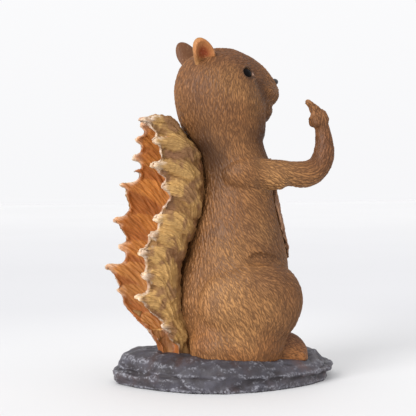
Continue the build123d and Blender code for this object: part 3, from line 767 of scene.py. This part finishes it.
# The raised hand, as rows for Clay.shape: the narrow wrist, a block of curled fingers, the thumb across
# them, the first finger's root and its knuckle, and the back of the hand.
HAND = [
    ((-20, -55, 134), (9, 10, 15), -0.4),
    ((-20, -47.5, 150.4), (6.5, 5.0, 5.0), 2.4, (0, 1, 0.15)),
    ((-20, -48.0, 145.8), (6.0, 4.0, 2.8), 1.2, (0, -0.8, 0.6)),
    ((-20, -45.5, 157.0), (5.0, 5.5, 4.5), 1.4, (0, 1, 0.3)),
    ((-20, -53.5, 150.6), (5.0, 4.5, 4.0), 0.7),
    ((-20, -49.5, 154.4), (3.4, 3.4, 3.4), 0.7),
    ((-20, -52.6, 153.2), (4.5, 4.5, 5.5), 0.9, (0, -0.7, 0.7)),
    ((-20, -58.5, 149.0), (5.0, 4.0, 5.0), -1.1),
    ([(-24.6, -46, 146.4), (-25.4, -49.5, 147.6), (-25, -53, 148.2)], 1.1, 0.55),
    ([(-24, -45, 149.4), (-25.2, -48, 150.4), (-25, -52, 151.4)], 1.1, 0.5),
]

# One side of the figure, written for the left one.
HAUNCH = [
    ((29, -4, 21), (16, 32, 16), 1.6, (1, 0, -0.1)),
    ((24, -24, 24), (16, 14, 14), 1.2, (0.6, -0.8, 0)),
    ((26, 14, 30), (14, 12, 24), 1.2, (0.7, 0.7, 0)),
    ((31, -14, 60), (12, 26, 16), 1.6),
    ((26, -33, 48), (12, 10, 18), 1.6),
    ((25, -29, 33), (10, 10, 12), 1.8, (0, -1, 0)),
]
SHOULDER = [
    ((25, -6, 122), (9, 16, 12), 1.0),
    ([(24, 2, 128), (26, -8, 129), (20, -22, 131)], 5.0, 0.8),
]
# The cheek, the upper lip, the lines below the eye and round the mouth, and the crown by the ear.
FACE = [
    ((21, -7, 157), (9, 13, 11), 1.0),
    ((10, -27, 163), (6, 7, 6), 0.8),
    ([(17, -15, 168), (14, -21, 163.5), (10.5, -25.5, 159)], 3.0, 0.8),
    ([(1, -31.5, 156.4), (6, -29.5, 156.2), (10, -26, 157.6)], 1.6, 0.7),
    ((14, 8, 183), (9, 9, 5), 0.8),
]
HAUNCH_CREASE = [([(28, -5, 70), (29, -13, 71.3), (26, -27, 69.5), (20, -35, 66)], 4.4, 2.3)]

# In the middle: the chin, and the throat that recedes below it.
CHIN = [
    ((0, -29.5, 154.6), (9, 4, 3), 0.9, (0, -1, 0)),
    ((0, -29.0, 149.8), (10, 6, 4.5), -1.8, (0, -1, -0.3)),
]

# Spans over which a share goes from 0 to 1, in x, y or z.
FLANK_ASIDE = (10, 16)
FLANK_BACK = (-9, 3)
FLANK_BELOW = (92, 80)
SEAT_BELOW = (48, 38)
SEAT_ABOVE = (13, 19)
NAPE_ABOVE = (124, 132)
NAPE_BELOW = (150, 141)
NAPE_BACK = (-6, 6)

CREASE_REACH = 9.0
CREASE_PASSES = 26
FLANK_BREADTH = 4.2
NAPE_BREADTH = 3.4
FIGURE_BEDDING = 1.2


def level_flanks(clay):
    """Runs each haunch smoothly into the flank behind it and into the seat below it."""
    x, y, z = clay.v.T
    behind = np.maximum(smooth(*FLANK_BACK, y), smooth(*SEAT_BELOW, z))
    flank = smooth(*FLANK_ASIDE, np.abs(x)) * behind
    clay.level_out(FLANK_BREADTH, flank * smooth(*FLANK_BELOW, z) * smooth(*SEAT_ABOVE, z))


def level_nape(clay):
    """Takes the step of the neck's joint out of the nape."""
    y, z = clay.v.T[1:]
    nape = smooth(*NAPE_ABOVE, z) * smooth(*NAPE_BELOW, z) * smooth(*NAPE_BACK, y)
    clay.level_out(NAPE_BREADTH, nape, bumps=True)


def sculpt_figure():
    """The body, head and arms as one skin, still without its eyes and fur."""
    names = ["body", "head", "right_arm", "left_arm", "neck_dowel", "right_arm_pin", "left_arm_pin",
             "right_eye", "left_eye"]
    clay = Clay(names, FIGURE_GRAIN)
    hand = clay.near((-20, -50, 151), (9, 13, 13)) ** 0.5
    clay.relax(2)
    clay.relax(3, where=1 - hand)
    clay.fill_creases(CREASE_REACH, CREASE_PASSES)
    joint = np.exp(-((clay.v[:, 2] - NECK_LEVEL) / 4.0) ** 2) * smooth(-4.0, 6.0, clay.v[:, 1])
    clay.relax(30, where=joint)
    clay.shape(HAND)
    for side in (-1, 1):
        clay.shape(HAUNCH + SHOULDER + FACE, side)
    clay.shape(CHIN)
    for _ in range(2):
        level_flanks(clay)
    level_nape(clay)
    clay.relax(14, where=clay.near((-20, -48, 156), (10, 13, 17)) ** 0.4)
    for side in (-1, 1):
        clay.shape(HAUNCH_CREASE, side)
    clay.relax(2, where=1 - 0.5 * hand)
    clay.sink(seat_level, FIGURE_BEDDING)
    return clay


LID_TONE = colour(46, 32, 26)
LID_SHARE = 0.85
# A pale painted highlight at the front corner of each eye, and how strongly it is laid on.
CORNER_HIGHLIGHT_TONE = colour(206, 168, 150)
CORNER_HIGHLIGHT_SHARE = 0.6
SMOOTH_HAND = ((-20, -48, 155), (10, 12, 16))


def paint_figure(clay, sockets):
    """Carves the figure's fur and returns its painted layers."""
    flow = guided_flow(FUR_GUIDES)
    coat = zone_coat(clay, FUR_TONES["mid"], mirrored(FUR_ZONES))
    coat = blend(coat, LID_TONE, LID_SHARE * np.maximum(sockets[0].rim, sockets[1].rim))
    # A pale painted highlight at each eye's front corner.
    coat = blend(coat, CORNER_HIGHLIGHT_TONE, CORNER_HIGHLIGHT_SHARE * np.maximum(sockets[0].corner, sockets[1].corner))
    furry = 1 - np.maximum(sockets[0].bare, sockets[1].bare)
    furry = furry * (1 - 0.9 * clay.near(*SMOOTH_HAND) ** 0.3)
    # The hair's lie is read before the strokes are carved.
    layers = fur_layers(clay, flow, coat, np.zeros(len(clay.v)))
    layers["Deep"] = carve(clay, flow, 11, 1.3, 4.6, 0.62, 0.46, lift=0.16, where=furry)
    return layers


# The glued joints of the arms: a point on each joint's plane, and the shoulder that it points away from.
RIGHT_SHOULDER = np.array([-15.0, -9.5, 117.0])
RIGHT_JOINT = np.array([-19.6, -29.8, 116.7])
LEFT_SHOULDER = np.array([15.0, -9.5, 117.0])
LEFT_JOINT = np.array([22.3, -10.4, 108.8])


def beyond(middles, name, joint, shoulder, reach):
    """Which quads belong to an arm: past its joint and within reach of its CAD node's box."""
    low, high = corners_of(name)
    inside = ((middles > low - reach) & (middles < high + reach)).all(axis=1)
    return inside & (((middles - joint) @ unit(joint - shoulder)) > 0)


def part_figure(clay, layers):
    """Parts the figure at its glued joints: at the neck and across each upper arm."""
    middles = clay.v[clay.f].mean(axis=1)
    right_arm = beyond(middles, "right_arm", RIGHT_JOINT, RIGHT_SHOULDER, 3.0)
    head = (middles[:, 2] > NECK_LEVEL) & ~right_arm
    left_arm = beyond(middles, "left_arm", LEFT_JOINT, LEFT_SHOULDER, 2.0) & ~head
    body = ~(head | right_arm | left_arm)
    for name, chosen in (("head", head), ("right_arm", right_arm), ("left_arm", left_arm), ("body", body)):
        places, faces, some, normals, caps = part_of(clay, chosen, layers)
        make_piece(name + "_fur", places, faces, some, fur_paint, [name], normals, caps)


figure = sculpt_figure()
sockets = [Socket(figure, side) for side in (-1, 1)]
part_figure(figure, paint_figure(figure, sockets))


def whole(clay, name, nodes, layers, material):
    """A piece from a whole clay skin."""
    every = np.ones(len(clay.f), bool)
    places, faces, some, normals, caps = part_of(clay, every, layers)
    return make_piece(name, places, faces, some, material, nodes, normals, caps)


# The tail: a hollow channel of long locks whose tips stand out along its two lips

# Locks seen from the side: back and up at the root, then at the tip.
NEAR_LOCKS = [
    (24.2, 142.0, 45.0, 147.3), (19.1, 129.9, 42.6, 135.3), (18.6, 114.4, 43.1, 122.2),
    (18.6, 98.8, 38.7, 110.4), (22.3, 85.2, 42.8, 93.7), (27.9, 75.3, 46.1, 85.2),
    (32.2, 60.7, 51.2, 75.6), (30.8, 47.7, 49.4, 62.9), (29.2, 37.3, 52.6, 51.0),
    (22.3, 24.4, 35.6, 34.4),
]
FAR_LOCKS = [
    (22.3, 133.9, 40.3, 144.2), (19.2, 120.4, 42.8, 136.2), (18.6, 106.9, 43.4, 126.1),
    (19.2, 91.8, 50.0, 111.2), (23.5, 78.3, 53.3, 91.1), (27.9, 64.7, 50.2, 76.0),
    (31.0, 49.7, 58.3, 65.0), (29.8, 36.1, 52.1, 51.9), (26.0, 24.1, 39.7, 36.1),
]
LOCK_WIDTH = 5.6
LOCK_THIN_SHARE = 0.5
LOCK_BULGE_SHARE = 0.65


class Locks:
    """Locks of one side of the tail as curves in the side view, for relief and for the flow."""

    def __init__(self, rows):
        self.lines = []
        self.sizes = np.random.default_rng(len(rows)).uniform(0.78, 1.0, len(rows))
        for root_y, root_z, tip_y, tip_z in rows:
            root, tip = np.array([root_y, root_z]), np.array([tip_y, tip_z])
            span = tip - root
            bend = root + (0.12 * span[0], 0.60 * span[1])
            reach = tip - (0.55 * span[0], 0.05 * span[1])
            t = np.linspace(-0.12, 1, 32)[:, None]
            line = ((1 - t) ** 3 * root + 3 * (1 - t) ** 2 * t * bend
                    + 3 * (1 - t) * t ** 2 * reach + t ** 3 * tip)
            self.lines.append((line, unit(np.gradient(line, axis=0))))

    def read(self, points):
        """Relief and nearness to a tip, both 0 to 1, then the flow's direction in the side view
        and the way from each point straight to its lock's middle line."""
        flat = points[:, 1:]
        relief, tips = np.zeros(len(points)), np.zeros(len(points))
        flow, draw = np.zeros((len(points), 2)), np.zeros((len(points), 2))
        for (line, ways), size in zip(self.lines, self.sizes):
            d2 = ((flat[:, None, :] - line[None, ::3, :]) ** 2).sum(axis=2)
            at = d2.argmin(axis=1) * 3
            share = at / (len(line) - 1)
            bulge = np.sin(math.pi * np.clip(0.15 + 0.75 * share, 0, 1))
            wide = LOCK_WIDTH * (LOCK_THIN_SHARE + LOCK_BULGE_SHARE * bulge)
            dist2 = d2.min(axis=1)
            body = np.sqrt(np.clip(1 - dist2 / wide ** 2, 0, 1)) * (0.35 + 0.65 * share)
            tips = np.where(body > relief, size * share, tips)
            across = line[at] - flat
            across -= (across * ways[at]).sum(axis=1, keepdims=True) * ways[at]
            draw = np.where((body > relief)[:, None], across, draw)
            relief = np.maximum(relief, body)
            flow += (1 / (dist2 + 9.0) ** 2)[:, None] * ways[at]
        return relief, tips, unit(flow), draw


TAIL_TONES = {
    "ochre": colour(242, 194, 120),
    "brown": colour(122, 78, 44),
    "plum": colour(150, 108, 82),
    "orange": colour(208, 132, 60),
    "peach": colour(194, 130, 68),
    "rust": colour(160, 86, 38),
}
TAIL_WASH = colour(92, 58, 32)
TAIL_BRUSH = colour(238, 222, 204)


def tail_fronts(clay):
    """The tail's foremost place at each height, as a function."""
    levels = np.linspace(clay.v[:, 2].min() + 2, clay.v[:, 2].max() - 1, 34)
    fronts = [clay.v[np.abs(clay.v[:, 2] - z) < 2.5][:, 1].min() for z in levels]
    return lambda z: np.interp(z, levels, fronts)


def distance_to(clay, chosen):
    """How far each point lies from the nearest chosen one."""
    tree = tree_of(clay.v[chosen])
    return np.array([tree.find(point)[2] for point in clay.v])


# How deep behind its front the tail's middle line runs, and how far its front is pressed on the back.
TAIL_MIDDLE = 22.0
TAIL_PRESS = 3.2
TAIL_PRESS_DEEP = (9.0, 2.0)
TAIL_PRESS_BELOW = (140.0, 128.0)
TAIL_BEDDING = 1.4

# The lips: how far from the rim they reach, their fringe, the longest tips, the gaps between the
# locks, how much the locks are drawn to points, how thick the rim is and how far tips bend outwards.
LIP_REACH = (4.5, 0.5)
FRINGE = 0.8
FRINGE_SIZE = 2.6
TIP_REACH = 2.0
LIP_GAP = 0.8
POINT_SHARE = 0.5
RIM_SWELL = 0.6
TIP_BEND = 1.3


class Tail:
    """The tail's clay with the fields that its shape and its paint follow."""

    def __init__(self):
        self.clay = Clay(["tail"], TAIL_GRAIN)
        self.clay.relax(4)
        self.front = tail_fronts(self.clay)
        self.near, self.far = Locks(NEAR_LOCKS), Locks(FAR_LOCKS)
        n = self.clay.normals()
        facing = (n * self.from_middle(self.clay.v)).sum(axis=1)
        self.outer = smooth(-0.2, 0.2, facing)
        self.rim = distance_to(self.clay, (np.abs(facing) < 0.35) & (n[:, 1] > 0.2))
        self.relief, self.tips, self.ways, self.draw = self.read(self.clay.v)

    def read(self, points):
        """What the locks of each point's own side say there."""
        relief, tips = np.zeros(len(points)), np.zeros(len(points))
        flow, draw = np.zeros((len(points), 2)), np.zeros((len(points), 2))
        for locks, side in ((self.near, points[:, 0] < 0), (self.far, points[:, 0] >= 0)):
            relief[side], tips[side], flow[side], draw[side] = locks.read(points[side])
        return relief, tips, flow, draw

    def from_middle(self, points):
        """The level way from the middle of the hollow to each point."""
        middle = [np.zeros(len(points)), self.front(points[:, 2]) + TAIL_MIDDLE, points[:, 2]]
        return unit((points - np.stack(middle, axis=1)) * (1, 0.6, 0))

    def flow(self, points, normals):
        """The way that the hair lies: along the locks outside, and steeper inside."""
        ways = self.read(points)[2]
        ways = np.concatenate([np.zeros((len(points), 1)), ways], axis=1)
        inner = smooth(0.2, -0.2, (normals * self.from_middle(points)).sum(axis=1))
        ways[:, 2] += 0.7 * inner
        ways -= (ways * normals).sum(axis=1, keepdims=True) * normals
        return unit(ways)

    def sculpt(self):
        """Shapes the lips and the locks, and carves the hair. Returns how deep in a stroke points lie."""
        clay, relief, tips, rim = self.clay, self.relief, self.tips, self.rim
        lip = smooth(*LIP_REACH, rim)
        fray = wander(clay.v * (1, 1, 1.6), FRINGE_SIZE, 12) * lip
        tip = smooth(0.65, 1.0, tips) * smooth(0.35, 0.9, relief)
        reach = TIP_REACH * tip - LIP_GAP * smooth(0.4, 0.1, relief)
        clay.v[:, 1:] += (FRINGE * fray + reach * lip)[:, None] * self.ways
        point = POINT_SHARE * smooth(0.55, 0.9, tips) * smooth(6.0, 1.0, rim)
        clay.v[:, 1:] += point[:, None] * self.draw
        clay.relax(6, where=0.8 * lip)
        clay.v = clay.v + (RIM_SWELL * smooth(3.5, 0.3, rim))[:, None] * clay.normals()
        strength = (0.6 + 2.4 * self.outer) * (relief - 0.5)
        clay.v = clay.v + strength[:, None] * clay.normals() * (1 - 0.4 * lip)[:, None]
        clay.v[:, 0] += TIP_BEND * np.sign(clay.v[:, 0]) * smooth(0.7, 1.0, tips) * lip
        clay.relax(2)
        force = 0.7 + 0.3 * self.outer
        wide = carve(clay, self.flow, 21, 2.0, 15.0, 1.0, 0.6, lift=0.34, turn=0.05, bend=0.4, force=force)
        fine = carve(clay, self.flow, 22, 1.5, 8.0, 0.65, 0.3, lift=0.1, turn=0.06, bend=0.2, force=force)
        press = smooth(*TAIL_PRESS_DEEP, clay.v[:, 1] - self.front(clay.v[:, 2]))
        press = press * smooth(*TAIL_PRESS_BELOW, clay.v[:, 2])
        clay.v[:, 1] -= TAIL_PRESS * press * self.outer
        clay.sink(seat_level, TAIL_BEDDING, 3.5)
        return np.maximum(wide, 0.7 * fine)

    def paint_outside(self, streak):
        """Ochre locks with brown between them, plum bands, and brown painted shade along the front where the
        tail meets the back.
        """
        y, z = self.clay.v.T[1:]
        coat = blend(TAIL_TONES["ochre"], TAIL_TONES["brown"], 0.65 * smooth(0.55, 0.1, self.relief))
        coat = coat * (1 - 0.25 * smooth(112.0, 126.0, z))[:, None]
        coat = blend(coat, TAIL_TONES["plum"], 0.7 * smooth(0.48, 0.7, streak))
        # Painted shade: brown along the tail's front, where it presses on the back.
        return blend(coat, TAIL_TONES["brown"], 0.6 * smooth(7.0, 1.5, y - self.front(z)))

    def paint_inside(self, streak):
        """Orange that turns paler towards the rock, with rust between the locks."""
        shade = np.maximum(0.5 * smooth(0.4, 0.8, streak), 0.7 * smooth(0.5, 0.1, self.relief))
        coat = blend(TAIL_TONES["orange"], TAIL_TONES["peach"], smooth(88.0, 50.0, self.clay.v[:, 2]))
        return blend(coat, TAIL_TONES["rust"], shade)

    def paint(self, deep):
        """The painted layers, with pale tips along the lips."""
        clay, outer = self.clay, self.outer
        streak = 0.5 + 0.5 * wander(clay.v, 8.0, 5)
        coat = blend(self.paint_inside(streak), self.paint_outside(streak), outer)
        ragged = 0.5 + 0.5 * wander(clay.v, 2.5, 6)
        reach = 2.0 + 3.2 * smooth(0.6, 1.0, self.tips)
        pale = smooth(reach, 0.1, self.rim + 2.0 * ragged) * (1 - 0.6 * deep)
        return fur_layers(clay, self.flow, coat, deep, pale * (0.45 + 0.55 * outer))


tail = Tail()
tail_layers = tail.paint(tail.sculpt())
tail_paint = painted_fur("tail_paint", TAIL_WASH, TAIL_BRUSH, 0.48, 0.25)
whole(tail.clay, "tail_locks", ["tail"], tail_layers, tail_paint)


# The rock

# How far the rock's side stands out past its CAD node, at shares of its height, and how much more
# at its two ends.
ROCK_RISE_SHARES = [0.0, 0.2, 0.42, 0.52, 0.62, 0.76, 0.93, 1.0]
ROCK_SWELL = [3.6, 2.2, 0.8, 3.0, 3.0, 1.8, 1.2, 0.8]
ROCK_END_SHARE = 0.9

# Each end's top is raised: how far, and the span along the rock over which it rises.
ROCK_ENDS = [(3.0, -46.0, -55.0), (1.8, 42.0, 54.0)]

# The hollows that are filled, then the sheets and chips of the stone: their sizes and heights.
ROCK_FILL = 7.0
WARP, WARP_SIZE = 6.0, 24.0
SHEET_SIZE, SHEET_THICKNESS, SHEET_TILT, SHEET_HEIGHT = 24.0, 11.0, 0.25, 1.3
CHIP_SIZE, CHIP_THICKNESS, CHIP_HEIGHT = 12.0, 6.0, 2.0

ROCK_TONES = {
    "grey": colour(55, 51, 55),
    "brown": colour(66, 46, 42),
    "cloud": colour(72, 70, 78),
    "crevice": colour(40, 34, 36),
    "frost": colour(152, 152, 160),
    "fleck": colour(130, 126, 132),
}


def block_out_rock(clay, low, high):
    """Makes the rock's side one blunt block with raised ends."""
    n = clay.normals()
    side = smooth(0.25, 0.6, np.hypot(n[:, 0], n[:, 1]))
    along = (clay.v[:, 1] - (low[1] + high[1]) / 2) / (high[1] - low[1]) * 2
    rise = clay.v[:, 2] / seat_level(clay.v[:, 1])
    out = side * np.interp(rise, ROCK_RISE_SHARES, ROCK_SWELL) * (1 + ROCK_END_SHARE * along ** 2)
    clay.v[:, :2] += out[:, None] * unit(n[:, :2])
    ends = sum(height * smooth(start, end, clay.v[:, 1]) for height, start, end in ROCK_ENDS)
    clay.v[:, 2] += ends * smooth(0.55, 0.95, rise)
    for _ in range(2):
        clay.level_out(ROCK_FILL, side * smooth(0.04, 0.2, rise))
    clay.relax(4, where=smooth(1.5, 3.0, clay.v[:, 2]))


def chip_rock(clay, low):
    """Gives the rock its sheets and chips, less where the squirrel sits, and a flat underside.
    Returns the places of its points before that."""
    n = clay.normals()
    p = clay.v
    warped = p + WARP * np.stack([wander(p, WARP_SIZE, k) for k in (7, 8, 9)], axis=1)
    layered = [(x / SHEET_SIZE, y / SHEET_SIZE, (z + SHEET_TILT * y) / SHEET_THICKNESS) for x, y, z in warped]
    sheets = np.array([noise.ridged_multi_fractal(Vector(q), 1.0, 2.1, 4, 0.9, 1.6) for q in layered])
    cells = [(x / CHIP_SIZE, y / CHIP_SIZE, z / CHIP_THICKNESS) for x, y, z in warped]
    chips = np.array([noise.voronoi(Vector(q))[0][0] for q in cells])
    move = np.clip(SHEET_HEIGHT * (sheets - 0.9) + CHIP_HEIGHT * (chips - 0.4), -1.8, 1.5)
    seated = (np.abs(p[:, 0]) < 36) & (p[:, 1] > -48) & (p[:, 1] < 32) & (n[:, 2] > 0.8)
    move = np.where(seated, 0.5 * move, move) * smooth(0.2, 3.0, p[:, 2])
    clay.v = p + move[:, None] * n
    clay.v[:, 2] = np.maximum(clay.v[:, 2], low[2])
    clay.relax(1, 0.4, smooth(0.2, 3.0, p[:, 2]))
    return p


def rock_layers(clay, p):
    """Grey and brown patches, dark crevices, and pale ridges and veins."""
    blurred = clay.v
    for _ in range(6):
        blurred = clay.mean(blurred)
    ridge = ((clay.v - blurred) * clay.normals()).sum(axis=1)
    coat = blend(ROCK_TONES["grey"], ROCK_TONES["brown"], 0.6 * smooth(0.0, 0.5, wander(p, 14.0, 10)))
    coat = coat * (1 + 0.9 * smooth(-12.0, -40.0, p[:, 1]))[:, None]
    veins = np.abs(wander(p * (1, 0.7, 2.0) + p[:, 1:2] * (0, 0, 0.35), 15.0, 11, 3))
    return {
        "Coat": coat,
        "Deep": smooth(0.02, 0.22, -ridge),
        "Pale": np.maximum(smooth(0.1, 0.35, ridge), smooth(0.045, 0.0, veins)),
    }


def rock_paint():
    """Dark stone with clouds, frosted ridges and pale flecks."""
    paint = Paint("rock_paint")
    grain = paint.speckle(700.0, 4.0, 0.7)
    cloud = paint.speckle(110.0, 5.0, 0.65)
    tone = paint.mix(paint.span(cloud, 0.35, 0.7), paint.layer("Coat", "Color"), ROCK_TONES["cloud"])
    tone = paint.mix(paint.math("MULTIPLY", paint.layer("Deep"), 0.7), tone, ROCK_TONES["crevice"])
    frost = paint.math("MULTIPLY", paint.layer("Pale"), paint.span(grain, 0.42, 0.62))
    tone = paint.mix(paint.math("MULTIPLY", frost, 0.66), tone, ROCK_TONES["frost"])
    flecks = paint.math("MULTIPLY", paint.span(grain, 0.6, 0.8), paint.span(cloud, 0.5, 0.75, 0.0, 0.25))
    tone = paint.mix(flecks, tone, ROCK_TONES["fleck"])
    relief = paint.bump(grain, 0.0005, 0.6)
    return paint.finish(tone, paint.span(cloud, 0.3, 0.7, 0.5, 0.7), relief, Specular_IOR_Level=0.35)


def sculpt_rock():
    clay = Clay(["rock_base"], ROCK_GRAIN)
    low, high = corners_of("rock_base")
    block_out_rock(clay, low, high)
    unchipped = chip_rock(clay, low)
    whole(clay, "rock", ["rock_base"], rock_layers(clay, unchipped), rock_paint())


sculpt_rock()


# Feet, ears, belly fur and small parts

FOOT_STRETCH = 1.22
FOOT_BEDDING = 1.0


def sculpt_foot(name):
    clay = Clay([name], SMALL_GRAIN)
    clay.relax(3)
    seat = seat_level(clay.v[:, 1])
    clay.v[:, 2] = seat + FOOT_STRETCH * (clay.v[:, 2] - seat)
    way = guided_flow([((0, -30, 20), (0, -1, -0.3))])
    deep = carve(clay, way, 31, 1.3, 2.6, 0.55, 0.14, lift=0.05)
    clay.sink(seat_level, FOOT_BEDDING)
    coat = blend(FUR_TONES["orange"], FUR_TONES["dark"], smooth(16, 24, clay.v[:, 2]))
    whole(clay, name + "_fur", [name], fur_layers(clay, way, coat, deep), fur_paint)


# The ear's hollow, measured from a point near the middle of its box, and the rim that is raised round it.
CUP_MIDDLE = (0, 0.3, -1.2)
CUP_SIZE = (5.0, 6.2)
CUP_DEPTH = 1.3
RIM_RISE = 0.5
EAR_ROOT_INWARDS = 2.4
EAR_LEAN = 2.6
EAR_BEDDING = 1.0
EAR_RIM_TONE = colour(176, 116, 68)
EAR_CUP_TONE = colour(132, 54, 16)
# Painted shade: the far ear's back is a darker copy of the near ear's fur tone.
FAR_EAR_SHADE_TONE = colour(104, 68, 42)


def sculpt_ear(name, side):
    clay = Clay([name], EAR_GRAIN)
    clay.relax(3)
    low, high = corners_of(name)
    rise = (clay.v[:, 2] - low[2]) / (high[2] - low[2])
    middle = (low + high) / 2 + CUP_MIDDLE
    n = clay.normals()
    inner = smooth(0.1, 0.6, side * n[:, 0])
    cup = np.hypot((clay.v[:, 1] - middle[1]) / CUP_SIZE[0], (clay.v[:, 2] - middle[2]) / CUP_SIZE[1])
    hollow = CUP_DEPTH * smooth(1.0, 0.2, cup) - RIM_RISE * np.exp(-((cup - 1.15) / 0.18) ** 2)
    clay.v[:, 0] -= side * inner * hollow
    clay.v[:, 0] -= side * EAR_ROOT_INWARDS * smooth(0.45, 0.0, rise)
    clay.v[:, 1] += EAR_LEAN * rise ** 1.5
    clay.sink(lambda y: low[2] + 0 * y, EAR_BEDDING, 2.0)
    clay.relax(1)
    orange = blend(EAR_RIM_TONE, EAR_CUP_TONE, smooth(1.0, 0.3, cup))
    # The far ear's back takes the darker tone of painted shade.
    back = FUR_TONES["tan"] if side < 0 else FAR_EAR_SHADE_TONE
    coat = blend(back, orange, inner * smooth(1.5, 1.15, cup) * smooth(0.1, 0.45, rise))
    way = guided_flow([((0, 10, 180), (0, 0.3, 1))])
    deep = carve(clay, way, 32, 1.2, 2.6, 0.5, 0.1, lift=0.04)
    lie = np.cross(n, way(clay.v, n))
    layers = {"Coat": coat, "Deep": 0.6 * deep, "Pale": np.zeros(len(clay.v)), "Lie": lie}
    whole(clay, name + "_fur", [name], layers, ear_paint)


BELLY_TONE = colour(198, 152, 116)
BELLY_WASH = colour(92, 62, 46)
BELLY_BRUSH = colour(222, 204, 186)


def sculpt_belly():
    clay = Clay(["belly_fur"], SMALL_GRAIN)
    clay.relax(3)
    way = guided_flow([((0, -40, 90), (0, 0, -1))])
    deep = carve(clay, way, 41, 2.6, 9.0, 1.7, 0.8, lift=0.5, turn=0.15)
    deep = np.maximum(deep, 0.7 * carve(clay, way, 42, 1.5, 5.0, 0.7, 0.25, lift=0.1))
    coat = np.tile(BELLY_TONE, (len(clay.v), 1))
    layers = fur_layers(clay, way, coat, deep, 0.5 * smooth(118, 126, clay.v[:, 2]))
    belly_paint = painted_fur("belly_paint", BELLY_WASH, BELLY_BRUSH, 0.7, 0.35)
    whole(clay, "belly_locks", ["belly_fur"], layers, belly_paint)


def plain_paint(name, tone, other, scale, rough, relief, **more):
    """A material of two close tones of noise with a fine relief in metres."""
    paint = Paint(name)
    noise_share = paint.speckle(scale, 4.0, 0.6)
    normal = paint.bump(noise_share, relief, 0.6)
    return paint.finish(paint.mix(noise_share, tone, other), rough, normal, **more)


def dress(names, material):
    """Gives CAD nodes that stay as they are a finish."""
    for name in names:
        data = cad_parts[name].data
        data.materials.clear()
        data.materials.append(material)


ear_paint = painted_fur("ear_paint", colour(110, 62, 32), colour(226, 182, 134), 0.4, 0.15)
eye_gloss = plain_paint("eye_gloss", colour(8, 7, 8), colour(18, 14, 15), 300.0, 0.1, 0.00001,
                        Specular_IOR_Level=0.05)
sculpt_foot("right_foot")
sculpt_foot("left_foot")
sculpt_ear("right_ear", -1)
sculpt_ear("left_ear", 1)
sculpt_belly()
sockets[0].ball("right_eye_bead", "right_eye", eye_gloss)
sockets[1].ball("left_eye_bead", "left_eye", eye_gloss)
dress(["nose"], plain_paint("nose_gloss", colour(30, 26, 26), colour(48, 42, 42), 900.0, 0.35, 0.0001))
dress(["base_felt"], plain_paint("felt", colour(38, 52, 42), colour(56, 72, 60), 1500.0, 0.95, 0.0003))
dress(["neck_dowel", "base_dowels"], plain_paint(
    "dowel_wood", colour(196, 160, 116), colour(170, 130, 88), 400.0, 0.6, 0.0001))
dress(["right_arm_pin", "left_arm_pin", "tail_pins"], plain_paint(
    "pin_steel", (0.5, 0.5, 0.51), (0.6, 0.6, 0.61), 800.0, 0.3, 0.00002, Metallic=1.0))


# Camera, light, floor and sky, in metres

CAMERA_PLACE = Vector((-0.7048, 0.2565, 0.125))
CAMERA_AIM = Vector((0.0023, 0.0063, 0.098))
CAMERA_LENS = 116.0
SENSOR_WIDTH = 36.0
LIGHT_PLACE = (-1.5, 2.2, 1.1)
LIGHT_AIM = (0, 0, 0.09)
LIGHT_SPREAD = 30.0
LIGHT_STRENGTH = 3.0

# The floor's half width, and its tones from the middle outwards, so that it looks evenly lit.
FLOOR_REACH = 3.0
FLOOR_MIDDLE = (0.75, 0.75, 0.755)
FLOOR_ROUND = (0.66, 0.66, 0.675)
FLOOR_FAR = (0.72, 0.72, 0.725)

HORIZON = (0.93, 0.93, 0.945)
SKY = (0.97, 0.97, 0.98)
SKY_SPAN = (-0.02, 0.16)


def make_camera():
    data = bpy.data.cameras.new("camera")
    data.sensor_width = SENSOR_WIDTH
    data.lens = CAMERA_LENS
    data.clip_start = 0.01
    camera = add("camera", data)
    camera.location = CAMERA_PLACE
    camera.rotation_euler = (CAMERA_AIM - CAMERA_PLACE).to_track_quat("-Z", "Y").to_euler()
    bpy.context.scene.camera = camera


def make_light():
    """Soft light from one side, as from a broad lamp far away."""
    data = bpy.data.lights.new("key", "SUN")
    data.angle = math.radians(LIGHT_SPREAD)
    data.energy = LIGHT_STRENGTH
    light = add("key", data)
    light.location = LIGHT_PLACE
    light.rotation_euler = (Vector(LIGHT_AIM) - Vector(LIGHT_PLACE)).to_track_quat("-Z", "Y").to_euler()


def make_floor():
    signs = [(-1, -1), (1, -1), (1, 1), (-1, 1)]
    mesh = bpy.data.meshes.new("floor")
    mesh.from_pydata([(x * FLOOR_REACH, y * FLOOR_REACH, 0) for x, y in signs], [], [(0, 1, 2, 3)])
    floor = add("floor", mesh)
    paint = Paint("floor")
    away = paint.node("VectorMath", {0: paint.place()}, output=1, operation="LENGTH")
    tone = paint.mix(paint.span(away, 0.1, 0.45), FLOOR_MIDDLE, FLOOR_ROUND)
    tone = paint.mix(paint.span(away, 0.6, 2.4), tone, FLOOR_FAR)
    grain = paint.span(paint.speckle(3.0), 0.3, 0.7, 0.985, 1.0)
    tone = paint.mix(1.0, tone, grain, "MULTIPLY")
    mesh.materials.append(paint.finish(tone, 0.7, Specular_IOR_Level=0.1))


def make_backdrop():
    """A pale sky that brightens a little from the horizon up."""
    paint = Paint("studio", bpy.data.worlds, "Background")
    height = paint.node("SeparateXYZ", {0: paint.node("TexCoord", output="Generated")}, "Z")
    rise = paint.node("MapRange", {"Value": height, "From Min": SKY_SPAN[0], "From Max": SKY_SPAN[1]})
    paint.put(paint.shader.inputs["Color"], paint.mix(rise, HORIZON, SKY))
    paint.put(paint.shader.inputs["Strength"], 1.0)
    bpy.context.scene.world = paint.material


make_camera()
make_floor()
make_backdrop()
make_light()
bpy.context.scene.view_settings.view_transform = "Standard"
